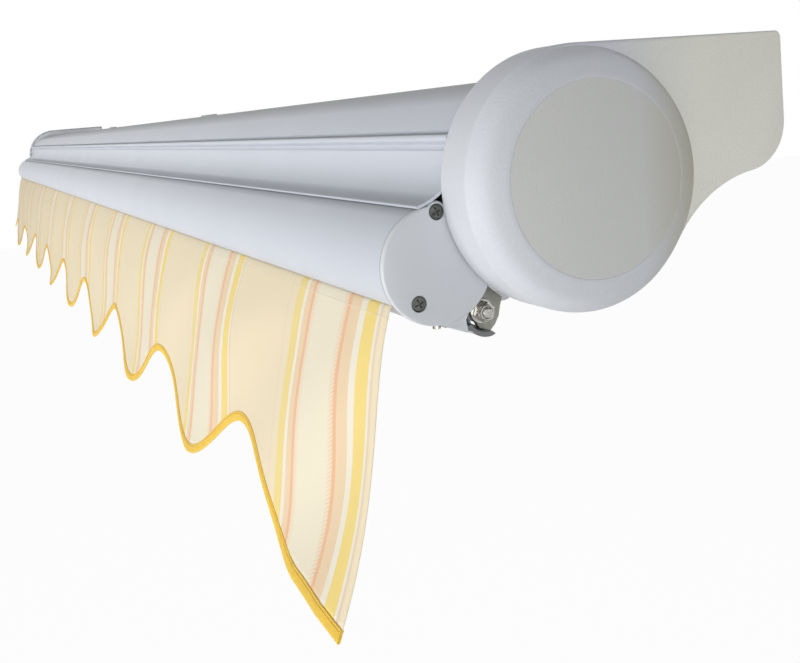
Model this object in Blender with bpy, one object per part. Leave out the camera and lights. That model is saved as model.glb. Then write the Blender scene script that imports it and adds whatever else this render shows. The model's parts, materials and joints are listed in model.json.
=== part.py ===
"""Retracted folding-arm awning with a hood, a scalloped valance and its wall brackets.

Metres, +Z up, the wall is the plane y = 0, the front of the awning faces -Y and X runs along it.
Sections are drawn in the YZ plane, measured from the roller's axis. The right end is at +X.
"""

import math

import bmesh
import bpy
from mathutils import Vector

# Driving dimensions of the whole awning
HALF_LENGTH = 1.750
WALL_TO_AXIS = 0.178
TUBE_ABOVE_AXIS = 0.038
GAP = 0.0003

# Roller, its cloth roll and what turns it
ROLLER_RADIUS = 0.039
ROLLER_WALL = 0.002
ROLL_RADIUS = 0.045
ROLLER_END_GAP = 0.015
CLOTH_INSET = 0.007
IDLER_RADIUS = 0.008
IDLER_LENGTH = 0.030
BEARING_RADIUS = 0.016
MOTOR_RADIUS = 0.025
MOTOR_LENGTH = 0.600
MOTOR_HEAD_RADIUS = 0.033
PLUG_LENGTH = 0.045

# Square torsion tube and the brackets on the wall
TUBE_SIZE = 0.040
TUBE_WALL = 0.0025
BORE_CORNER = 0.001
TUBE_FORWARD = 0.122
BRACKET_INSET = 0.300
BRACKET_WIDTH = 0.120
BRACKET_PLATE = 0.008
JAW = 0.008
BRACKET_DROP = 0.045
BRACKET_RISE = 0.045

# Hood extrusion
HOOD_TOP = 0.0723
HOOD_RADIUS = 0.090
HOOD_REAR = 0.092
HOOD_WALL = 0.002
HOOD_CREST = -0.010
LIP = (-0.110, -0.0085)
VISOR_TOP = (-0.082, 0.026)
BEAD_TIP = (-0.085, 0.0346)
SUPPORT_SHARE = 0.5
SUPPORT_WIDTH = 0.012
SUPPORT_DEPTH = 0.012

# End plate and end cap, shaped like a comma
DRUM_RADIUS = 0.0915
DISC_RADIUS = 0.0665
SHOULDER_DEPTH = 0.016
SKIRT_DEPTH = 0.0352
CAP_WALL = 0.003
DISC_THICKNESS = 0.002
TAIL_WALL_GAP = 0.001
TAIL_CORNER_RADIUS = 0.036
TAIL_BOTTOM = -0.009
TAIL_HOLLOW_RADIUS = 0.100
TAIL_TOP_CORNER = 0.004
END_PLATE_THICKNESS = 0.006
CAP_PEG_RADIUS = 0.0035
CAP_PEG_CIRCLE = 0.045
CAP_POST_RADIUS = 0.006

# Folding arms
ARM_LENGTH = 1.300
ARM_LEVEL = -0.075
PIVOT_INSET = 0.0885
SHOULDER_Y = 0.072
WRIST_Y = -0.014
PIVOT_CLEARANCE = 0.030
UPPER_ARM_HEIGHT = 0.050
UPPER_ARM_THICKNESS = 0.028
FOREARM_HEIGHT = 0.046
FOREARM_THICKNESS = 0.024
ARM_OFFSET = 0.002
ARM_WALL = 0.0025
ARM_CORNER = 0.007
FLANGE = 0.006
EYE_RADIUS = 0.015
PIN_RADIUS = 0.005
PIN_FIT = 0.0004
SHOULDER_TONGUE = 0.030
ELBOW_TONGUE = 0.034
WRIST_TONGUE = 0.028
LUG = 0.0075

# Tilt block and the console that carries it
TILT_Y = 0.118
TILT_Z = -0.056
TILT_BOSS = 0.016
TILT_BOLT_RADIUS = 0.006
CONSOLE_CHEEK = 0.008
BLOCK_OUTER = 0.0397
BLOCK_INNER = 0.014

# Front bar, its grooves and the hinge socket behind it
BAR_CENTRE = (-0.097, -0.0505)
BAR_RADIUS = 0.0415
BAR_WALL = 0.0025
BAR_INSET = 0.006
BAR_CAP = 0.004
BAR_CAP_BEVEL = 0.002
GROOVE_RADIUS = 0.0032
GROOVE_DEPTH = 0.0045
GROOVE_SLOT = 0.0024
GROOVE_WALL = 0.002
KEDER_RADIUS = 0.0027
VALANCE_GROOVE_ANGLE = 215.5
CANOPY_GROOVE_ANGLE = 64.0
SOCKET = (-0.0609, -0.0888)
SOCKET_RADIUS = 0.014
SOCKET_WALL = 0.0045
BARREL_RADIUS = 0.009
BOLT_RADIUS = 0.003
WASHER_RADIUS = 0.009
WASHER_THICKNESS = 0.0016
NUT_FLATS = 0.010
NUT_HEIGHT = 0.006
CHEEK = 0.004
KNUCKLE_LENGTH = 0.0825
CAP_SCREWS_AT = ((-0.0955, -0.0163), (-0.1136, -0.0744))
CAP_SCREW_HEAD = 0.0049

# Cloth
CLOTH = 0.0006
VALANCE_FALL = ((-0.1328, -0.0765), (-0.168, -0.150), (-0.160, -0.235), (-0.187, -0.301))
SCALLOP_PITCH = 0.3875
SCALLOP_LOW_X = 1.6325
HEM_HIGH = -0.210
HEM_LOW = -0.296
BINDING_WIDTH = 0.009
BINDING_THICKNESS = 0.002
VALANCE_INSET = 0.002
COLUMNS_PER_SCALLOP = 8
VALANCE_ROWS = 4

AXIS_Y = -WALL_TO_AXIS
AXIS_Z = -TUBE_ABOVE_AXIS
PIVOT_X = HALF_LENGTH - PIVOT_INSET
ARM_SWING = (SHOULDER_Y - WRIST_Y) / 2
ARM_REACH = math.sqrt(ARM_LENGTH**2 - ARM_SWING**2)
ELBOW_X = PIVOT_X - ARM_REACH
ELBOW_Y = SHOULDER_Y - ARM_SWING
REST_ANGLE = math.asin(ARM_SWING / ARM_LENGTH)
PLATE_INSIDE = HALF_LENGTH + GAP
PLATE_OUTSIDE = PLATE_INSIDE + END_PLATE_THICKNESS
CAP_BACK = HALF_LENGTH + GAP
CAP_FRONT = CAP_BACK + SKIRT_DEPTH
DISC_FACE = CAP_FRONT + SHOULDER_DEPTH
BAR_END = HALF_LENGTH - BAR_INSET
KNUCKLE_OUTER = BAR_END - 0.0135
KNUCKLE_INNER = KNUCKLE_OUTER - KNUCKLE_LENGTH

# Finishes: colour, roughness, metallic
FINISHES = {
    "white_coat": ((0.80, 0.82, 0.86), 0.35, 0.0),
    "cap_white": ((0.80, 0.82, 0.82), 0.55, 0.0),
    "disc_grey": ((0.72, 0.74, 0.71), 0.55, 0.0),
    "zinc": ((0.60, 0.60, 0.56), 0.35, 1.0),
    "dark_zinc": ((0.28, 0.28, 0.26), 0.40, 1.0),
    "alloy": ((0.68, 0.69, 0.70), 0.35, 1.0),
    "nylon": ((0.12, 0.12, 0.13), 0.50, 0.0),
    "keder": ((0.85, 0.82, 0.74), 0.50, 0.0),
    "cloth": ((0.88, 0.78, 0.58), 0.90, 0.0),
    "binding": ((0.92, 0.62, 0.08), 0.85, 0.0),
}


def arc(centre, radius, start, end, steps):
    """Points on an arc from start to end degrees, ends included."""
    angles = [math.radians(start + (end - start) * i / steps) for i in range(steps + 1)]
    return [(centre[0] + radius * math.cos(a), centre[1] + radius * math.sin(a)) for a in angles]


def circle(centre, radius, sides):
    """A closed ring of points."""
    return arc(centre, radius, 0.0, 360.0, sides)[:-1]


def bezier(points, steps):
    """Points along a cubic curve, ends included."""
    a, b, c, d = (Vector(p) for p in points)
    curve = []
    for i in range(steps + 1):
        t = i / steps
        s = 1 - t
        point = a * s**3 + b * 3 * s * s * t + c * 3 * s * t * t + d * t**3
        curve.append(tuple(point))
    return curve


def rounded_box(low, high, radius, steps=2):
    """A rectangle with round corners, counter-clockwise."""
    corners = (
        ((high[0] - radius, high[1] - radius), 0),
        ((low[0] + radius, high[1] - radius), 90),
        ((low[0] + radius, low[1] + radius), 180),
        ((high[0] - radius, low[1] + radius), 270),
    )
    loop = []
    for centre, start in corners:
        loop += arc(centre, radius, start, start + 90, steps)
    return loop


def offset(path, distance):
    """The path moved sideways, to its left for a positive distance."""
    moved = []
    for i, point in enumerate(path):
        before = Vector(path[max(i - 1, 0)])
        after = Vector(path[min(i + 1, len(path) - 1)])
        along = (after - before).normalized()
        moved.append((point[0] - along.y * distance, point[1] + along.x * distance))
    return moved


def on_axis(x, point):
    """A point of a YZ section, measured from the roller's axis, in the awning's frame."""
    return Vector((x, AXIS_Y + point[0], AXIS_Z + point[1]))


def in_plan(point, z):
    """A point of an XY plan, measured from the roller's axis, in the awning's frame."""
    return Vector((point[0], AXIS_Y + point[1], AXIS_Z + z))


def fill_and_extrude(bm, loops, place, start, end):
    """Fill the first loop less the others at start, and extrude the face to end."""
    edges = []
    for loop in loops:
        ring = [bm.verts.new(place(start, p)) for p in loop]
        edges += [bm.edges.new((a, b)) for a, b in zip(ring, ring[1:] + ring[:1])]
    filled = bmesh.ops.triangle_fill(bm, edges=edges, use_beauty=True, use_dissolve=False)
    faces = [f for f in filled["geom"] if isinstance(f, bmesh.types.BMFace)]
    grown = bmesh.ops.extrude_face_region(bm, geom=faces, use_keep_orig=True)
    verts = [v for v in grown["geom"] if isinstance(v, bmesh.types.BMVert)]
    bmesh.ops.translate(bm, verts=verts, vec=place(end, loops[0][0]) - place(start, loops[0][0]))
    bmesh.ops.recalc_face_normals(bm, faces=bm.faces[:])


def material(name, finish):
    """The object's own Principled material."""
    colour, roughness, metallic = FINISHES[finish]
    made = bpy.data.materials.new(name)
    made.use_nodes = True
    shader = made.node_tree.nodes["Principled BSDF"]
    shader.inputs["Base Color"].default_value = (*colour, 1.0)
    shader.inputs["Roughness"].default_value = roughness
    shader.inputs["Metallic"].default_value = metallic
    return made


def finish_mesh(bm, name, finish):
    """Turn the bmesh into a named object with its material and smooth round faces."""
    mesh = bpy.data.meshes.new(name)
    bm.to_mesh(mesh)
    bm.free()
    mesh.shade_smooth()
    mesh.set_sharp_from_angle(angle=math.radians(35))
    mesh.materials.append(material(name, finish))
    obj = bpy.data.objects.new(name, mesh)
    bpy.context.scene.collection.objects.link(obj)
    return obj


def bar_along_x(name, loops, start, end, finish):
    """A section in YZ extruded along X."""
    bm = bmesh.new()
    fill_and_extrude(bm, loops, on_axis, start, end)
    return finish_mesh(bm, name, finish)


def plate_up_z(name, loops, start, end, finish):
    """An outline in XY extruded along Z, with heights measured from the roller's axis."""
    bm = bmesh.new()
    fill_and_extrude(bm, loops, lambda z, p: in_plan(p, z), start, end)
    return finish_mesh(bm, name, finish)


def join_solids(target, tool, operation="UNION"):
    """Add the tool to the target, or cut it away, and remove the tool."""
    boolean = target.modifiers.new(operation.lower(), "BOOLEAN")
    boolean.operation = operation
    boolean.object = tool
    graph = bpy.context.evaluated_depsgraph_get()
    mesh = bpy.data.meshes.new_from_object(target.evaluated_get(graph))
    target.modifiers.clear()
    old = target.data
    mesh.name = old.name
    target.data = mesh
    bpy.data.meshes.remove(old)
    tool_mesh = tool.data
    bpy.data.objects.remove(tool)
    bpy.data.meshes.remove(tool_mesh)
    mesh.set_sharp_from_angle(angle=math.radians(35))
    return target


def drill(target, centre, radius, start, end, upright=False, sides=14):
    """Cut a round hole along X, or along Z where it is upright."""
    make = plate_up_z if upright else bar_along_x
    tool = make("drill", [circle(centre, radius, sides)], start, end, "zinc")
    return join_solids(target, tool, "DIFFERENCE")


def mirrored(obj, name):
    """The same piece for the left end."""
    bm = bmesh.new()
    bm.from_mesh(obj.data)
    bmesh.ops.scale(bm, vec=(-1, 1, 1), verts=bm.verts[:])
    bmesh.ops.reverse_faces(bm, faces=bm.faces[:])
    mesh = bpy.data.meshes.new(name)
    bm.to_mesh(mesh)
    bm.free()
    mesh.shade_smooth()
    mesh.set_sharp_from_angle(angle=math.radians(35))
    copy = obj.data.materials[0].copy()
    copy.name = name
    mesh.materials.append(copy)
    twin = bpy.data.objects.new(name, mesh)
    bpy.context.scene.collection.objects.link(twin)
    return twin


def body(name, place, parent=None):
    """An empty on the axis that a group of pieces turns about."""
    empty = bpy.data.objects.new(name, None)
    bpy.context.scene.collection.objects.link(empty)
    empty.location = place
    bpy.context.view_layer.update()
    if parent:
        hold(empty, parent)
    return empty


def hold(obj, parent):
    """Parent the object and keep its place."""
    bpy.context.view_layer.update()
    obj.parent = parent
    obj.matrix_parent_inverse = parent.matrix_world.inverted()
    bpy.context.view_layer.update()


# Comma outline of the end plate and the end cap

def comma_parts(inset):
    """The round part and the tail of the comma, counter-clockwise, each less the inset.

    The round part runs from the top over the front to the foot of the hollow curve. The tail
    runs on along the hollow curve, the lower corner, the wall edge and the top edge.
    """
    drum = DRUM_RADIUS - inset
    corner = TAIL_CORNER_RADIUS - inset
    hollow = TAIL_HOLLOW_RADIUS + inset
    wall = WALL_TO_AXIS - TAIL_WALL_GAP - inset
    corner_centre = Vector((wall - corner, TAIL_BOTTOM + TAIL_CORNER_RADIUS))
    reach_drum = drum + hollow
    reach_corner = corner + hollow
    distance = corner_centre.length
    along = (reach_drum**2 - reach_corner**2 + distance**2) / (2 * distance)
    aside = math.sqrt(reach_drum**2 - along**2)
    way = corner_centre.normalized()
    hollow_centre = way * along + Vector((way.y, -way.x)) * aside
    foot = math.degrees(math.atan2(hollow_centre.y, hollow_centre.x))
    to_corner = corner_centre - hollow_centre
    turn = math.degrees(math.atan2(to_corner.y, to_corner.x))
    round_part = arc((0, 0), drum, 90, 360 + foot, DRUM_STEPS)
    top = DRUM_RADIUS - inset
    tail = arc(hollow_centre, hollow, foot + 180, turn, HOLLOW_STEPS)[1:]
    tail += arc(corner_centre, corner, turn + 180 - 360, 0, CORNER_STEPS)[1:]
    tail += arc((wall - TAIL_TOP_CORNER, top - TAIL_TOP_CORNER), TAIL_TOP_CORNER, 0, 90, 2)
    return round_part, tail


DRUM_STEPS = 30
HOLLOW_STEPS = 5
CORNER_STEPS = 5
SHOULDER_STEPS = 3


def shoulder_profile(inset):
    """Radius and depth of the rounded shoulder, from the skirt's edge to the disc."""
    edge = DRUM_RADIUS - inset
    start = (edge, CAP_FRONT - inset * 0.4)
    sink = DISC_THICKNESS if inset else 0.0
    end = (DISC_RADIUS + 0.0015 - inset, DISC_FACE - inset - sink)
    knee = (edge - 0.001, DISC_FACE - inset - sink - 0.005)
    return bezier((start, knee, knee, end), SHOULDER_STEPS)


def cap_surface(bm, inset, back):
    """One skin of the end cap: skirt, tail face and shoulder. Returns its rim and its mouth."""
    round_part, tail = comma_parts(inset)
    front = shoulder_profile(inset)[0][1]
    outline = round_part + tail
    rim = [bm.verts.new(on_axis(back, p)) for p in outline]
    edge = [bm.verts.new(on_axis(front, p)) for p in outline]
    for i in range(len(outline)):
        j = (i + 1) % len(outline)
        bm.faces.new((rim[i], rim[j], edge[j], edge[i]))
    foot = math.degrees(math.atan2(round_part[-1][1], round_part[-1][0]))
    seam_points = arc((0, 0), DRUM_RADIUS - inset, foot, 90, SEAM_STEPS)[1:-1]
    seam = [bm.verts.new(on_axis(front, p)) for p in seam_points]
    last = len(round_part) - 1
    # The tail's flat face lies between the outline and the shoulder's seam.
    bm.faces.new(edge[last:] + [edge[0]] + seam[::-1])
    ring = edge[: last + 1] + seam
    angles = [math.atan2(v.co.z - AXIS_Z, v.co.y - AXIS_Y) for v in ring]
    for radius, x in shoulder_profile(inset)[1:]:
        grown = []
        for a in angles:
            grown.append(bm.verts.new(on_axis(x, (radius * math.cos(a), radius * math.sin(a)))))
        for i in range(len(ring)):
            j = (i + 1) % len(ring)
            bm.faces.new((ring[i], ring[j], grown[j], grown[i]))
        ring = grown
    return rim, ring


SEAM_STEPS = 12


def end_cap():
    """Moulded end cap: a thin comma shell with a recess for its disc and three pegs for the plate."""
    bm = bmesh.new()
    rim, mouth = cap_surface(bm, 0.0, CAP_BACK)
    inner_rim, inner_mouth = cap_surface(bm, CAP_WALL, CAP_BACK)
    for i in range(len(rim)):
        j = (i + 1) % len(rim)
        bm.faces.new((rim[j], rim[i], inner_rim[i], inner_rim[j]))
    floor = DISC_FACE - DISC_THICKNESS - GAP
    recess = []
    for v in mouth:
        away = Vector((v.co.y - AXIS_Y, v.co.z - AXIS_Z)).normalized()
        seat = away * (DISC_RADIUS + 2 * GAP)
        recess.append((bm.verts.new(on_axis(DISC_FACE, seat)), bm.verts.new(on_axis(floor, seat))))
    for i in range(len(mouth)):
        j = (i + 1) % len(mouth)
        bm.faces.new((mouth[i], mouth[j], recess[j][0], recess[i][0]))
        bm.faces.new((recess[i][0], recess[j][0], recess[j][1], recess[i][1]))
    bm.faces.new([pair[1] for pair in recess])
    bm.faces.new(inner_mouth)
    bmesh.ops.recalc_face_normals(bm, faces=bm.faces[:])
    cap = finish_mesh(bm, "end_cap_R", "cap_white")
    for spot in cap_peg_spots():
        post = bar_along_x("post", [circle(spot, CAP_POST_RADIUS, 12)],
                           PLATE_OUTSIDE + GAP, floor - CAP_WALL / 2, "cap_white")
        peg = bar_along_x("peg", [circle(spot, CAP_PEG_RADIUS, 12)],
                          PLATE_INSIDE, PLATE_OUTSIDE + CAP_WALL, "cap_white")
        join_solids(cap, join_solids(post, peg))
    return cap


def cap_peg_spots():
    """Three places round the roller's axis for the cap's pegs."""
    return arc((0, 0), CAP_PEG_CIRCLE, 90, 330, 2)


def cap_disc():
    """Flat disc that snaps into the end cap's recess."""
    return bar_along_x("cap_disc_R", [circle((0, 0), DISC_RADIUS, DISC_SIDES)],
                       DISC_FACE - DISC_THICKNESS, DISC_FACE, "disc_grey")


DISC_SIDES = 44


def end_plate():
    """Cast plate inside the cap: it grips the torsion tube and carries the roller."""
    round_part, tail = comma_parts(CAP_WALL + 2 * GAP)
    half = TUBE_SIZE / 2 + GAP
    low = (TUBE_FORWARD - half, TUBE_ABOVE_AXIS - half)
    high = (TUBE_FORWARD + half, TUBE_ABOVE_AXIS + half)
    loops = [round_part[::2] + tail, rounded_box(low, high, BORE_CORNER, 1)]
    loops.append(circle((0, 0), BEARING_RADIUS, 24))
    loops += [circle(spot, CAP_PEG_RADIUS + GAP, 10) for spot in cap_peg_spots()]
    return bar_along_x("end_plate_R", loops, PLATE_INSIDE, PLATE_OUTSIDE, "alloy")


# Torsion tube, wall brackets and hood

def torsion_tube():
    """Square steel tube that everything hangs on."""
    half = TUBE_SIZE / 2
    bore = half - TUBE_WALL
    centre = (TUBE_FORWARD, TUBE_ABOVE_AXIS)
    outside = rounded_box((centre[0] - half, centre[1] - half),
                          (centre[0] + half, centre[1] + half), 0.003, 2)
    inside = rounded_box((centre[0] - bore, centre[1] - bore),
                         (centre[0] + bore, centre[1] + bore), 0.0015, 1)
    end = PLATE_OUTSIDE + END_PLATE_THICKNESS
    return bar_along_x("torsion_tube", [outside, inside], -end, end, "white_coat")


def wall_bracket(name, x):
    """Cast bracket: a plate on the wall with a lower jaw and lip under the tube."""
    half = TUBE_SIZE / 2 + GAP
    front = TUBE_FORWARD - half
    back = WALL_TO_AXIS - BRACKET_PLATE
    base = TUBE_ABOVE_AXIS - half
    loop = [
        (WALL_TO_AXIS, TUBE_ABOVE_AXIS - BRACKET_DROP),
        (WALL_TO_AXIS, TUBE_ABOVE_AXIS + BRACKET_RISE),
        (back, TUBE_ABOVE_AXIS + BRACKET_RISE),
        (back, TUBE_ABOVE_AXIS + half + JAW + GAP),
        (back, base + JAW),
        (TUBE_FORWARD + half, base),
        (front, base),
        (front, TUBE_ABOVE_AXIS),
        (front - JAW, TUBE_ABOVE_AXIS),
        (front - JAW, base - JAW),
        (back, base - JAW),
        (back, TUBE_ABOVE_AXIS - BRACKET_DROP),
    ]
    return bar_along_x(name, [loop], x - BRACKET_WIDTH / 2, x + BRACKET_WIDTH / 2, "white_coat")


def bracket_clamp(name, x):
    """Plate that closes the bracket over the tube, with its two bolts."""
    half = TUBE_SIZE / 2 + GAP
    front = TUBE_FORWARD - half
    top = TUBE_ABOVE_AXIS + half
    back = WALL_TO_AXIS - BRACKET_PLATE - GAP
    loop = [
        (back, top),
        (back, top + JAW),
        (front - JAW, top + JAW),
        (front - JAW, TUBE_ABOVE_AXIS + GAP),
        (front, TUBE_ABOVE_AXIS + GAP),
        (front, top),
    ]
    width = BRACKET_WIDTH * 0.7
    clamp = bar_along_x(name, [loop], x - width / 2, x + width / 2, "white_coat")
    base = TUBE_ABOVE_AXIS - half + JAW + GAP
    for side in (-1, 1):
        spot = (x + side * BRACKET_WIDTH / 4, CLAMP_BOLT_Y)
        for radius, sides, ends in ((CLAMP_BOLT_RADIUS, 12, (base, top + JAW / 2)),
                                    (CLAMP_BOLT_RADIUS * 1.8, 6, (top + JAW / 2, top + JAW + 0.005))):
            join_solids(clamp, plate_up_z("bolt", [circle(spot, radius, sides)], *ends, "zinc"))
    return clamp


CLAMP_BOLT_RADIUS = 0.004
CLAMP_BOLT_Y = TUBE_FORWARD + TUBE_SIZE / 2 + 0.012


def hood_path():
    """Outside of the hood from its rear lip, over the top, to the visor's lip."""
    path = [(HOOD_REAR, HOOD_TOP - 0.010), (HOOD_REAR, HOOD_TOP - 0.001)]
    path.append((HOOD_REAR - 0.001, HOOD_TOP))
    path += arc((HOOD_CREST, HOOD_TOP - HOOD_RADIUS), HOOD_RADIUS, 90, 140, 12)
    tip = BEAD_TIP
    path.append((tip[0] + 0.0072, tip[1] + 0.0036))
    path.append((tip[0] + 0.0050, tip[1] + 0.0028))
    path += arc((tip[0] + 0.0028, tip[1]), 0.0028, 100, 250, 5)
    path.append((tip[0] + 0.0052, tip[1] - 0.0046))
    path.append((VISOR_TOP[0] + 0.0015, VISOR_TOP[1] + 0.0014))
    path += bezier((VISOR_TOP, (-0.081, 0.006), (-0.092, -0.003), LIP), 10)
    return path


def hood():
    """Painted extrusion over the roller with a bead, a recess and a concave visor."""
    outside = hood_path()
    inside = offset(outside, HOOD_WALL)
    return bar_along_x("hood", [outside + inside[::-1]], -HALF_LENGTH, HALF_LENGTH, "white_coat")


def hood_support(name, x):
    """Cast rib from the torsion tube forward under the hood."""
    half = TUBE_SIZE / 2 + GAP
    ring = 0.006
    top = HOOD_TOP - HOOD_WALL - GAP
    under = offset(hood_path()[2:12], HOOD_WALL + GAP)
    low = offset(under, SUPPORT_DEPTH)
    centre = (TUBE_FORWARD, TUBE_ABOVE_AXIS)
    loop = [(HOOD_REAR - HOOD_WALL - 2 * GAP, top)] + under[1:] + low[::-1][:-1]
    loop += [(centre[0] - half - ring, top - SUPPORT_DEPTH), (centre[0] - half - ring, centre[1] - half - ring)]
    loop += [(centre[0] + half + ring, centre[1] - half - ring), (centre[0] + half + ring, centre[1] + half + ring)]
    loop += [(HOOD_REAR + GAP, centre[1] + half + ring), (HOOD_REAR + GAP, HOOD_TOP - 0.0105)]
    loop += [(HOOD_REAR - HOOD_WALL - 2 * GAP, HOOD_TOP - 0.0105)]
    bore = rounded_box((centre[0] - half, centre[1] - half), (centre[0] + half, centre[1] + half), BORE_CORNER, 1)
    return bar_along_x(name, [loop, bore], x - SUPPORT_WIDTH / 2, x + SUPPORT_WIDTH / 2, "alloy")


# Roller and drive

def roller_tube():
    """Steel tube with a key groove rolled along its bottom."""
    groove = [(0.004, -ROLLER_RADIUS + 0.0002), (0.003, -ROLLER_RADIUS + 0.004),
              (-0.003, -ROLLER_RADIUS + 0.004), (-0.004, -ROLLER_RADIUS + 0.0002)]
    outside = arc((0, 0), ROLLER_RADIUS, -84, 264, 36) + groove[::-1]
    bore = ROLLER_RADIUS - ROLLER_WALL
    inner = [(0.0055, -bore), (0.004, -bore + 0.0042), (-0.004, -bore + 0.0042), (-0.0055, -bore)]
    inside = arc((0, 0), bore, -80, 260, 30) + inner[::-1]
    end = HALF_LENGTH - ROLLER_END_GAP
    return bar_along_x("roller_tube", [outside, inside], -end, end, "zinc")


def cloth_roll():
    """The awning cloth wound on the tube, as one solid."""
    end = HALF_LENGTH - ROLLER_END_GAP - CLOTH_INSET
    loops = [circle((0, 0), ROLL_RADIUS, 40), circle((0, 0), ROLLER_RADIUS + GAP, 36)]
    return bar_along_x("cloth_roll", loops, -end, end, "cloth")


def tube_insert(radius):
    """Section that fits the tube's bore and its key groove."""
    fit = radius - GAP
    return arc((0, 0), fit, -80, 260, 28) + [(-0.0045, -fit + 0.0048), (0.0045, -fit + 0.0048)]


def roller_plug():
    """End plug with the idler pin."""
    bore = ROLLER_RADIUS - ROLLER_WALL
    end = HALF_LENGTH - ROLLER_END_GAP
    plug = bar_along_x("roller_plug", [tube_insert(bore)], end - PLUG_LENGTH, end, "nylon")
    rim = bar_along_x("rim", [circle((0, 0), ROLLER_RADIUS - 0.0005, 30)], end + GAP, end + 0.003, "nylon")
    stem = bar_along_x("stem", [circle((0, 0), IDLER_RADIUS, 20)], end - GAP, end + IDLER_LENGTH, "nylon")
    neck = bar_along_x("neck", [circle((0, 0), bore - 0.010, 20)], end - 0.002, end + 0.001, "nylon")
    return join_solids(join_solids(join_solids(plug, neck), rim), stem)


def idler_bearing():
    """Flanged nylon bush in the right end plate."""
    bore = circle((0, 0), IDLER_RADIUS + GAP, 16)
    bush = bar_along_x("idler_bearing", [circle((0, 0), BEARING_RADIUS - GAP, 20), bore],
                       PLATE_INSIDE - 0.002, PLATE_OUTSIDE + 0.002, "nylon")
    flange = bar_along_x("flange", [circle((0, 0), BEARING_RADIUS + 0.004, 20), bore],
                         PLATE_INSIDE - 0.0045, PLATE_INSIDE - GAP, "nylon")
    return join_solids(bush, flange)


def tube_motor():
    """Tubular motor inside the left end of the roller, held by its head."""
    face = PLATE_INSIDE - GAP
    head = 0.010
    motor = bar_along_x("tube_motor", [circle((0, 0), MOTOR_RADIUS, 24)],
                        -face + head / 2, -face + MOTOR_LENGTH, "nylon")
    cover = bar_along_x("cover", [circle((0, 0), MOTOR_HEAD_RADIUS, 24)], -face, -face + head, "nylon")
    spigot = bar_along_x("spigot", [circle((0, 0), BEARING_RADIUS - GAP, 20)],
                         -PLATE_OUTSIDE, -face + GAP, "nylon")
    shaft = bar_along_x("shaft", [circle((0, 0), IDLER_RADIUS, 16)],
                        -face + MOTOR_LENGTH - GAP, -face + MOTOR_LENGTH + 0.035, "nylon")
    for piece in (cover, spigot, shaft):
        join_solids(motor, piece)
    return motor


def drive_wheel():
    """Wheel on the motor's shaft that turns the tube."""
    bore = ROLLER_RADIUS - ROLLER_WALL
    start = -PLATE_INSIDE + MOTOR_LENGTH + 0.004
    return bar_along_x("drive_wheel", [tube_insert(bore), circle((0, 0), IDLER_RADIUS + GAP, 16)],
                       start, start + 0.028, "nylon")


# Arms, drawn for the right end and mirrored for the left

def arm_frame(start, end, side):
    """Maps (along, aside) of an arm to the plan. Aside is measured from the line of its pivots."""
    along = (Vector(end) - Vector(start)).normalized()
    aside = Vector((-along.y, along.x)) * side
    origin = Vector(start)
    return lambda p: tuple(origin + along * p[0] + aside * p[1])


SHOULDER = (PIVOT_X, SHOULDER_Y)
ELBOW = (ELBOW_X, ELBOW_Y)
WRIST = (PIVOT_X, WRIST_Y)
UPPER = arm_frame(SHOULDER, ELBOW, -1)
FORE = arm_frame(ELBOW, WRIST, -1)


def arm_tube(name, frame, thickness, height, finish):
    """Hollow arm extrusion between its two end castings."""
    start = PIVOT_CLEARANCE
    end = ARM_LENGTH - PIVOT_CLEARANCE
    low = (ARM_OFFSET, ARM_LEVEL - height / 2)
    high = (ARM_OFFSET + thickness, ARM_LEVEL + height / 2)
    outside = rounded_box(low, high, ARM_CORNER)
    inside = rounded_box((low[0] + ARM_WALL, low[1] + ARM_WALL),
                         (high[0] - ARM_WALL, high[1] - ARM_WALL), ARM_CORNER - ARM_WALL)
    bm = bmesh.new()
    fill_and_extrude(bm, [outside, inside], lambda s, p: in_plan(frame((s, p[0])), p[1]), start, end)
    return finish_mesh(bm, name, finish)


def eye_outline(frame, pivot, thickness, toward):
    """Plan of a lug: a round eye at the pivot that widens to the arm's end."""
    end = pivot + toward * (PIVOT_CLEARANCE - GAP)
    sweep = arc((pivot, 0), EYE_RADIUS, -90, -90 - 180 * toward, 10)
    loop = sweep + [(end, ARM_OFFSET + thickness), (end, ARM_OFFSET)]
    return [frame(p) for p in loop]


def head(name, frame, pivot, thickness, height, layers, toward, finish):
    """Casting on an arm's end: layers of lugs on a flange that closes the tube."""
    outline = eye_outline(frame, pivot, thickness, toward)
    face = pivot + toward * (PIVOT_CLEARANCE - GAP)
    back = face - toward * FLANGE
    loop = [(back, ARM_OFFSET), (face, ARM_OFFSET), (face, ARM_OFFSET + thickness), (back, ARM_OFFSET + thickness)]
    casting = plate_up_z(name, [[frame(p) for p in loop]], ARM_LEVEL - height / 2, ARM_LEVEL + height / 2, finish)
    for low, high in layers:
        join_solids(casting, plate_up_z("lug", [outline], ARM_LEVEL + low, ARM_LEVEL + high, finish))
    drill(casting, frame((pivot, 0)), PIN_RADIUS + PIN_FIT, ARM_LEVEL - height, ARM_LEVEL + height, upright=True)
    return casting


def pin(name, spot, half_length):
    """Steel pivot pin with a flat head at each end."""
    shank = plate_up_z(name, [circle(spot, PIN_RADIUS, 12)], ARM_LEVEL - half_length, ARM_LEVEL + half_length, "zinc")
    for side in (-1, 1):
        ends = sorted((ARM_LEVEL + side * half_length, ARM_LEVEL + side * (half_length + 0.002)))
        collar = plate_up_z("collar", [circle(spot, PIN_RADIUS * 1.6, 12)], ends[0], ends[1], "zinc")
        join_solids(shank, collar)
    return shank


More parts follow.
